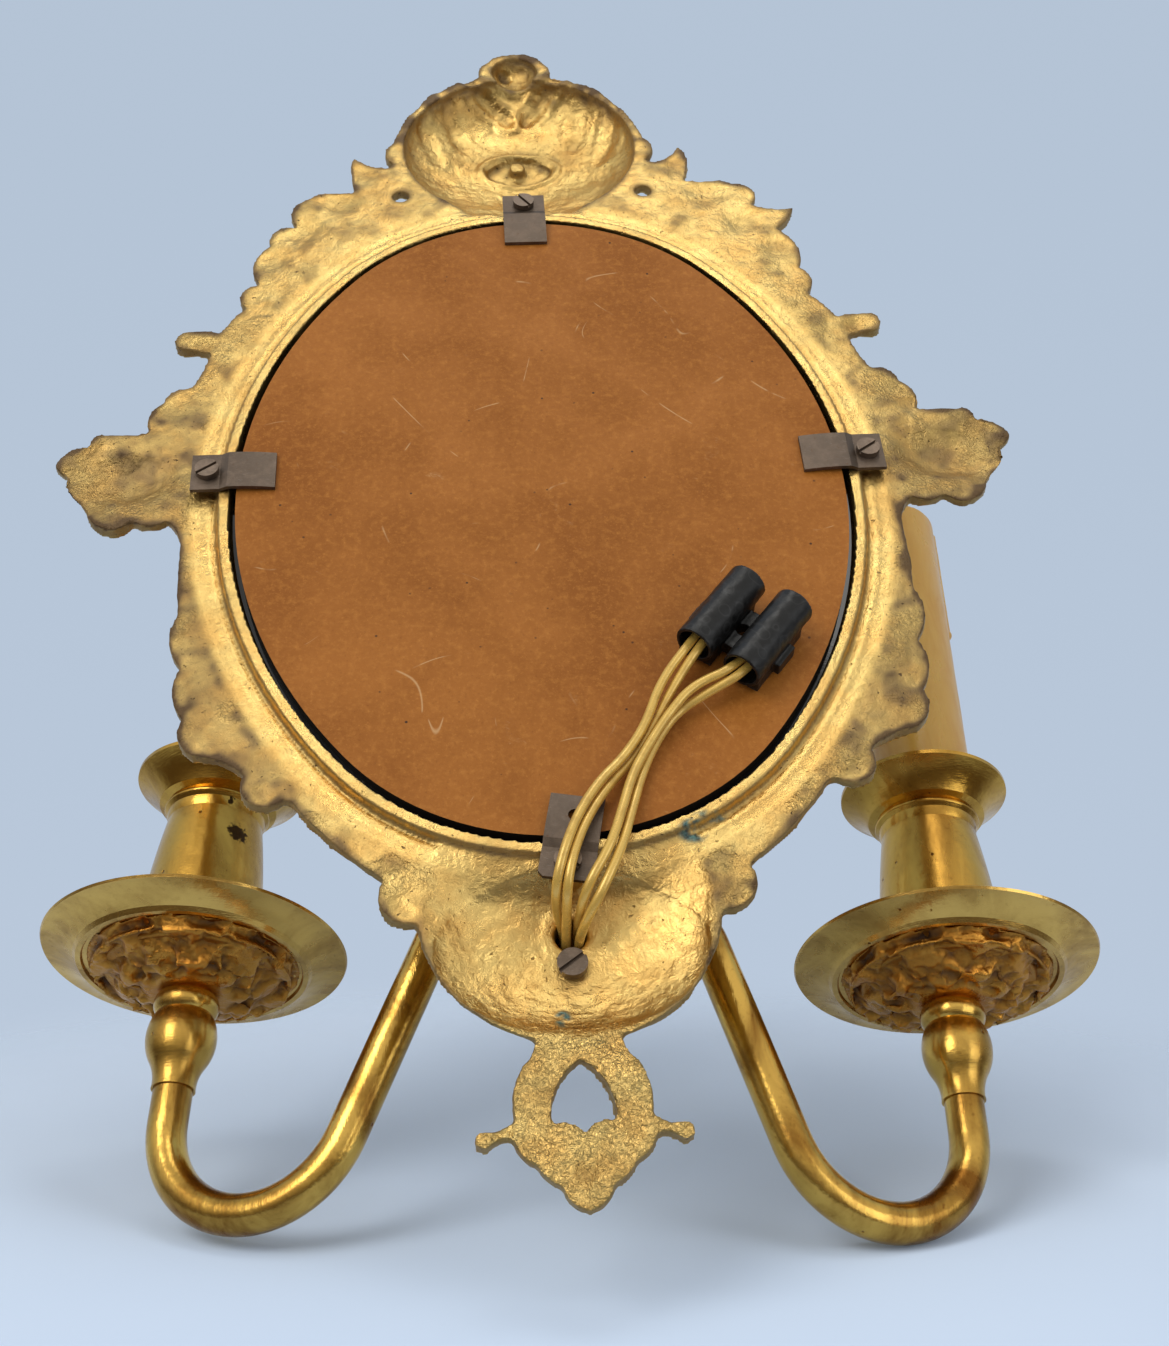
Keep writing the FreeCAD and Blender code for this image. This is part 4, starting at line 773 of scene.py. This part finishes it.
def shape_rosette(mesh, node, axis_point, axis):
    """Folds acanthus leaves and their lumps into the underside of a rosette."""
    depth = relief().rose_lobe / MM
    spots, normals = read_points(mesh)
    offset = spots - np.array(axis_point)
    side = np.array((axis[2], 0.0, -axis[0]))
    across, forth = offset @ side, offset[:, 1]
    radius, bearing = np.hypot(across, forth), np.arctan2(forth, across)
    under = step(-(normals @ np.array(axis)), 0.05, 0.5)
    outer = step(radius, 8.5, 11.0)
    turn = 0.5 * ROSETTE_LEAVES * bearing
    fold = np.abs(np.sin(turn + 0.9 * np.sin(0.35 * radius)))
    curl = np.sin(0.85 * radius + 2.2 * np.sin(turn)) * step(radius, 10, 14)
    lumps = swells(spots, 3.4, 3, 21.0)
    push = under * outer * (depth * (0.9 * fold - 1.0) + 0.45 * depth * curl
                            + 0.75 * depth * lumps)
    push *= 1 - 0.8 * step(radius, 23.4, 25.2)
    push = np.minimum(push, 0.25)
    spots = spots + normals * push[:, None]
    write_points(mesh, spots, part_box(node))
    spots, normals = read_points(mesh)
    # the hollow attribute: patina and painted shade, browner in concave spots and deep in the
    # folds
    bend = curvature(mesh, spots, normals)
    hollow = np.clip(0.10 + 7.0 * bend - 0.32 * push / depth, 0, 0.85)
    keep_value(mesh, "hollow", hollow)


# ------------------------------------------------------------------------------ leads

# each lead's route in mm: hub hole, over the foot clip, across the board, into its pole
ROUTES = {
    "lead_a": [(0.9, -20.0, -119.35), (1.1, -11.0, -119.35), (2.9, -3.5, -118.0),
               (2.8, 3.4, -115.2), (0.6, 5.9, -108.2), (-2.7, 5.6, -99.8),
               (-7.7, 4.9, -91.4), (-13.5, 3.9, -84.9), (-18.8, 4.2, -76.8),
               (-22.9, 5.3, -66.0), (-30.7, 6.4, -55.8), (-35.8, 6.4, -49.4)],
    "lead_b": [(0.9, -20.0, -121.85), (1.0, -11.0, -121.85), (0.8, -3.5, -119.4),
               (0.5, 3.5, -115.6), (-1.3, 4.7, -108.2), (-4.8, 4.2, -99.6),
               (-9.8, 2.9, -91.2), (-15.4, 1.6, -84.4), (-20.7, 2.3, -75.6),
               (-26.3, 4.2, -65.8), (-32.5, 6.4, -57.2), (-37.6, 6.4, -50.8)],
    "lead_c": [(-1.4, -20.0, -119.35), (-1.5, -11.0, -119.35), (-1.6, -3.5, -119.6),
               (-3.7, 3.3, -115.6), (-8.9, 4.7, -107.6), (-12.0, 4.6, -98.6),
               (-14.8, 4.0, -89.6), (-19.2, 3.9, -81.6), (-24.2, 4.3, -74.0),
               (-30.0, 5.4, -67.4), (-40.4, 6.4, -63.5), (-45.5, 6.4, -57.0)],
    "lead_d": [(-1.4, -20.0, -121.85), (-1.5, -11.0, -121.85), (-2.4, -3.5, -121.8),
               (-6.6, 2.9, -117.0), (-11.2, 3.6, -107.6), (-14.2, 2.9, -97.8),
               (-17.0, 2.0, -88.4), (-20.8, 1.5, -79.8), (-26.0, 1.8, -72.2),
               (-33.4, 3.7, -68.4), (-42.2, 6.4, -64.9), (-47.3, 6.4, -58.5)],
}
LEAD_DIAMETER = 2.1 * MM


def make_lead(name, finish):
    """One lead as a round NURBS cord through its route's control points."""
    curve = bpy.data.curves.new(name + "_cord", "CURVE")
    curve.dimensions = "3D"
    curve.bevel_depth = LEAD_DIAMETER / 2
    curve.bevel_resolution = 5
    curve.use_fill_caps = True
    curve.resolution_u = 12
    line = curve.splines.new("NURBS")
    route = ROUTES[name]
    line.points.add(len(route) - 1)
    for point, spot in zip(line.points, route):
        point.co = (*(value * MM for value in spot), 1.0)
    line.order_u = 3
    line.use_endpoint_u = True
    piece = new_object(name + "_cord", curve)
    finish_piece(piece, "mirror", "lead_pvc", finish, name)


# ------------------------------------------------------------------------------ stage

def sight_axes():
    """The camera's right, up and back directions."""
    view = studio()
    az, el, roll = view.azimuth, view.elevation, view.roll
    back = Vector((math.sin(az) * math.cos(el), -math.cos(az) * math.cos(el), math.sin(el)))
    right = (-back).cross(Vector((0, 0, 1))).normalized()
    up = right.cross(-back)
    return (math.cos(roll) * right + math.sin(roll) * up,
            -math.sin(roll) * right + math.cos(roll) * up, back)


def soft_lamp(name, spot, aim, size, power, tint):
    """A square soft lamp that looks at a point."""
    data = bpy.data.lights.new(name, "AREA")
    data.shape, data.size, data.energy, data.color = "SQUARE", size, power, tint
    lamp = new_object(name, data)
    lamp.location = spot
    lamp.rotation_mode = "QUATERNION"
    lamp.rotation_quaternion = (Vector(spot) - Vector(aim)).to_track_quat("Z", "Y")


def make_world():
    """A pale sweep for camera, gloss and glass; neutral light for everything else."""
    world = bpy.data.worlds.new("studio")
    bpy.context.scene.world = world
    world.use_nodes = True
    tree = world.node_tree
    tree.nodes.clear()
    way = add(tree, "TexCoord").outputs["Generated"]
    _, up, back = sight_axes()
    height = add(tree, "VectorMath", {0: way}, operation="DOT_PRODUCT")
    height.inputs[1].default_value = up
    depth = add(tree, "VectorMath", {0: way}, operation="DOT_PRODUCT")
    depth.inputs[1].default_value = back
    sky = blend_colour(tree, ramp(tree, height.outputs["Value"], -0.42, 0.36),
                       (0.50, 0.59, 0.72), (0.46, 0.55, 0.67))
    room = blend_colour(tree, ramp(tree, height.outputs["Value"], -0.15, 0.75),
                        (0.085, 0.066, 0.046), (0.84, 0.82, 0.78))
    sky = blend_colour(tree, ramp(tree, depth.outputs["Value"], -0.45, 0.20), sky, room)
    rays = add(tree, "LightPath").outputs
    seen = maths(tree, "MAXIMUM", rays["Is Camera Ray"], rays["Is Glossy Ray"])
    seen = maths(tree, "MAXIMUM", seen, rays["Is Transmission Ray"])
    light = add(tree, "Background", {"Color": (0.87, 0.85, 0.82, 1), "Strength": 0.66})
    shown = add(tree, "Background", {"Color": sky, "Strength": 1.0})
    mixed = add(tree, "MixShader", {0: seen, 1: light.outputs[0], 2: shown.outputs[0]})
    output = tree.nodes.new("ShaderNodeOutputWorld")
    tree.links.new(mixed.outputs[0], output.inputs["Surface"])


def make_floor():
    """A pale floor under the arms' bends, square to the photograph's up, fading out."""
    right, up, back = sight_axes()
    low = min((Vector((x, y, z)).dot(up) for name in both("arm")
               for x, y, z in (v.co for v in NODES[name].data.vertices)))
    centre = up * (low - 0.0004)
    mesh = bpy.data.meshes.new("floor")
    shape = bmesh.new()
    rings, spokes, reach = 12, 64, 0.62
    hub = shape.verts.new(centre)
    last = None
    for ring in range(1, rings + 1):
        radius = reach * ring / rings
        row = [shape.verts.new(centre + radius * (math.cos(2 * math.pi * k / spokes) * right
                                                  - math.sin(2 * math.pi * k / spokes) * back))
               for k in range(spokes)]
        for k in range(spokes):
            nxt = (k + 1) % spokes
            if last is None:
                shape.faces.new((hub, row[k], row[nxt]))
            else:
                shape.faces.new((last[k], row[k], row[nxt], last[nxt]))
        last = row
    shape.normal_update()
    shape.faces.ensure_lookup_table()
    if shape.faces[0].normal.dot(up) < 0:
        bmesh.ops.reverse_faces(shape, faces=shape.faces)
    shape.to_mesh(mesh)
    shape.free()
    new_object("floor", mesh)

    finish = bpy.data.materials.new("pale_floor")
    finish.use_nodes = True
    tree = finish.node_tree
    tree.nodes.clear()
    spot = add(tree, "TexCoord").outputs["Object"]
    gap = add(tree, "VectorMath", {0: spot}, operation="DISTANCE")
    gap.inputs[1].default_value = centre
    fade = ramp(tree, gap.outputs["Value"], 0.14, 0.30, 1.0, 0.0)
    behind = add(tree, "NewGeometry").outputs["Backfacing"]
    fade = maths(tree, "MULTIPLY", fade, maths(tree, "SUBTRACT", 1.0, behind))
    mist = grain_of(tree, spot, 120, 3)
    colour = blend_colour(tree, ramp(tree, mist, 0.3, 0.7, 0, 0.3), (0.62, 0.74, 0.92),
                          (0.66, 0.78, 0.95))
    matt = add(tree, "BsdfDiffuse", {"Color": colour, "Roughness": 0.8})
    clear = add(tree, "BsdfTransparent")
    both_ways = add(tree, "MixShader", {0: fade, 1: clear.outputs[0], 2: matt.outputs[0]})
    output = tree.nodes.new("ShaderNodeOutputMaterial")
    tree.links.new(both_ways.outputs[0], output.inputs["Surface"])
    mesh.materials.append(finish)


# -------------------------------------------------------------------------- operators

class GIRANDOLE_OT_camera(bpy.types.Operator):
    """Puts the camera where the photograph was taken"""
    bl_idname = "girandole.camera"
    bl_label = "Camera"

    def execute(self, context):
        view = studio()
        right, up, back = sight_axes()
        data = bpy.data.cameras.new("camera")
        data.lens, data.sensor_width = view.lens, 36.0
        data.clip_start, data.clip_end = 0.01, 20.0
        camera = new_object("camera", data)
        camera.matrix_world = Matrix.Translation(
            back * view.distance - right * view.across - up * view.above) @ Matrix(
                (right, up, back)).transposed().to_4x4()
        context.scene.camera = camera
        return {"FINISHED"}


class GIRANDOLE_OT_leads(bpy.types.Operator):
    """Lays the four gold leads from the hub to the terminal block"""
    bl_idname = "girandole.leads"
    bl_label = "Leads"

    def execute(self, context):
        finish = lead_finish()
        for name in ROUTES:
            make_lead(name, finish)
        dress(both("arm_leads"), finish)
        return {"FINISHED"}


class GIRANDOLE_OT_stage(bpy.types.Operator):
    """Sets the sweep, the floor and the soft lamps"""
    bl_idname = "girandole.stage"
    bl_label = "Stage"

    def execute(self, context):
        context.scene.view_settings.view_transform = "Standard"
        make_world()
        make_floor()
        right, up, back = sight_axes()
        power = studio().key
        aim = Vector((0.0, -0.02, 0.0))
        soft_lamp("key", aim + 0.62 * back - 0.55 * right + 0.62 * up, aim, 0.55, power,
                  (1.0, 0.97, 0.92))
        soft_lamp("fill", aim + 0.60 * back + 0.75 * right + 0.15 * up, aim, 0.60,
                  0.45 * power, (0.92, 0.96, 1.0))
        soft_lamp("top", aim + Vector((-0.08, 0.62, 0.66)), Vector((0.0, 0.0, -0.10)), 0.42,
                  0.36 * power, (1.0, 0.98, 0.93))
        return {"FINISHED"}


class GIRANDOLE_OT_casting(bpy.types.Operator):
    """Builds the leafed casting with its relief"""
    bl_idname = "girandole.casting"
    bl_label = "Frame casting"

    def execute(self, context):
        piece = fine_copy("frame_casting", "casting", coarser(relief().grain), 1)
        shape_casting(piece.data)
        colours = finishes()
        finish = cast_brass_finish("cast_gilt", colours.cast_gold, colours.cast_patina_and_shade)
        finish_piece(piece, "mirror", "cast_brass", finish, "frame_casting")
        return {"FINISHED"}


class GIRANDOLE_OT_rosettes(bpy.types.Operator):
    """Builds the leafed rosette under each drip pan"""
    bl_idname = "girandole.rosettes"
    bl_label = "Rosettes"

    def execute(self, context):
        # a darker, redder copy of the turned gold with a near-black brown: patina and painted
        # shade under the pan
        gold = tinted(finishes().turned_gold, 0.80, 0.62, 0.50)
        finish = cast_brass_finish("rosette_gilt", gold, (0.050, 0.018, 0.004), pit=0.5)
        axis = (-math.sin(ARM_TURN), 0.0, math.cos(ARM_TURN))
        for node in both("rosette"):
            piece = fine_copy(node, node + "_leaves", coarser(0.45 * MM), 1)
            low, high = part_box(node)
            middle = [0.5 * (a + b) / MM for a, b in zip(low, high)]
            shape_rosette(piece.data, node, middle, axis)
            finish_piece(piece, "mirror", "cast_brass", finish, node)
        return {"FINISHED"}


class GIRANDOLE_OT_arms(bpy.types.Operator):
    """Finishes the arms, the hub, the ferrules, pans and nozzles"""
    bl_idname = "girandole.arms"
    bl_label = "Arms and cups"

    def execute(self, context):
        colours = finishes()
        gold, amber = colours.turned_gold, colours.turned_amber
        dress(both("arm") + ["arm_hub"],
              turned_brass_finish("drawn_tube", gold, amber, age=0.95))
        dress(both("ferrule", "neck_collar"),
              turned_brass_finish("turned_ferrule", gold, amber, rings=True, age=0.6))
        dress(both("drip_pan"), turned_brass_finish(
            "spun_pan", tinted(gold, 1.08, 1.08, 1.25), amber, rings=True, dull=0.05,
            age=0.55))
        dress(both("nozzle"), turned_brass_finish(
            "spun_nozzle", tinted(gold, 0.93, 0.86, 0.72), amber, rings=True, dull=0.02,
            age=0.6, blots=NOZZLE_BLOTS))
        dress(both("nipple", "nozzle_nut", "lamp_contact") + ["terminal_inserts"],
              turned_brass_finish("bare_brass", (0.70, 0.50, 0.22), (0.30, 0.18, 0.06)))
        return {"FINISHED"}


class GIRANDOLE_OT_candles(bpy.types.Operator):
    """Finishes the candle sleeves and the lampholders in them"""
    bl_idname = "girandole.candles"
    bl_label = "Candles"

    def execute(self, context):
        finish = candle_finish()
        for side in ("right", "left"):
            node = "candle_sleeve_" + side
            piece = fine_copy(node, node + "_wax", coarser(0.45 * MM), 1)
            roughen(piece, node, 0.05, 0.03, 7.0, 5.0)
            finish_piece(piece, "sleeve_" + side, "candle_card", finish, node)
        dress(both("lampholder"),
              steel_finish("pressed_phenolic", (0.035, 0.016, 0.010), 0.34))
        return {"FINISHED"}


class GIRANDOLE_OT_board(bpy.types.Operator):
    """Finishes the backing board and the mirror glass"""
    bl_idname = "girandole.board"
    bl_label = "Board and glass"

    def execute(self, context):
        dress(["backing_board"], board_finish())
        dress(["mirror_glass"], glass_finish())
        return {"FINISHED"}


class GIRANDOLE_OT_fixings(bpy.types.Operator):
    """Finishes the turning clips and the screws"""
    bl_idname = "girandole.fixings"
    bl_label = "Clips and screws"

    def execute(self, context):
        grey = finishes().clip_grey
        dress(["clip_top", "clip_foot", "clip_right", "clip_left"],
              steel_finish("spring_steel", grey))
        dress(["clip_screws", "hub_screw", "terminal_screws"],
              steel_finish("screw_steel", tinted(grey, 1.2, 1.2, 1.2), 0.30))
        return {"FINISHED"}


class GIRANDOLE_OT_block(bpy.types.Operator):
    """Builds the two-pole terminal block with moulded, softened edges"""
    bl_idname = "girandole.block"
    bl_label = "Terminal block"

    def execute(self, context):
        piece = fine_copy("terminal_block", "block_moulding", coarser(0.28 * MM), 2)
        roughen(piece, "terminal_block", 0.10, 0.06, 3.2, 8.0)
        finish_piece(piece, "mirror", "black_plastic", plastic_finish(), "terminal_block")
        return {"FINISHED"}


class GIRANDOLE_PT_panel(bpy.types.Panel):
    """Lists the pieces and the settings"""
    bl_idname = "GIRANDOLE_PT_panel"
    bl_label = "Girandole Mirror"
    bl_space_type = "VIEW_3D"
    bl_region_type = "UI"
    bl_category = "Girandole"

    def draw(self, context):
        for settings in (finishes(), relief(), studio()):
            box = self.layout.box()
            for name in settings.__annotations__:
                box.prop(settings, name)
        for operator in OPERATORS:
            self.layout.operator(operator.bl_idname)


OPERATORS = (GIRANDOLE_OT_camera, GIRANDOLE_OT_leads, GIRANDOLE_OT_stage,
             GIRANDOLE_OT_casting, GIRANDOLE_OT_rosettes, GIRANDOLE_OT_arms,
             GIRANDOLE_OT_candles, GIRANDOLE_OT_board, GIRANDOLE_OT_fixings,
             GIRANDOLE_OT_block)
CLASSES = (GirandoleFinishes, GirandoleRelief, GirandoleStudio, *OPERATORS,
           GIRANDOLE_PT_panel)


def register():
    for cls in CLASSES:
        bpy.utils.register_class(cls)
    bpy.types.Scene.girandole_finishes = bpy.props.PointerProperty(type=GirandoleFinishes)
    bpy.types.Scene.girandole_relief = bpy.props.PointerProperty(type=GirandoleRelief)
    bpy.types.Scene.girandole_studio = bpy.props.PointerProperty(type=GirandoleStudio)


def unregister():
    del bpy.types.Scene.girandole_finishes
    del bpy.types.Scene.girandole_relief
    del bpy.types.Scene.girandole_studio
    for cls in reversed(CLASSES):
        bpy.utils.unregister_class(cls)


def main():
    """Dresses the whole mirror."""
    register()
    bpy.ops.girandole.camera()
    bpy.ops.girandole.leads()
    bpy.ops.girandole.stage()
    bpy.ops.girandole.casting()
    bpy.ops.girandole.rosettes()
    bpy.ops.girandole.arms()
    bpy.ops.girandole.candles()
    bpy.ops.girandole.board()
    bpy.ops.girandole.fixings()
    bpy.ops.girandole.block()


if __name__ == "__main__":
    main()
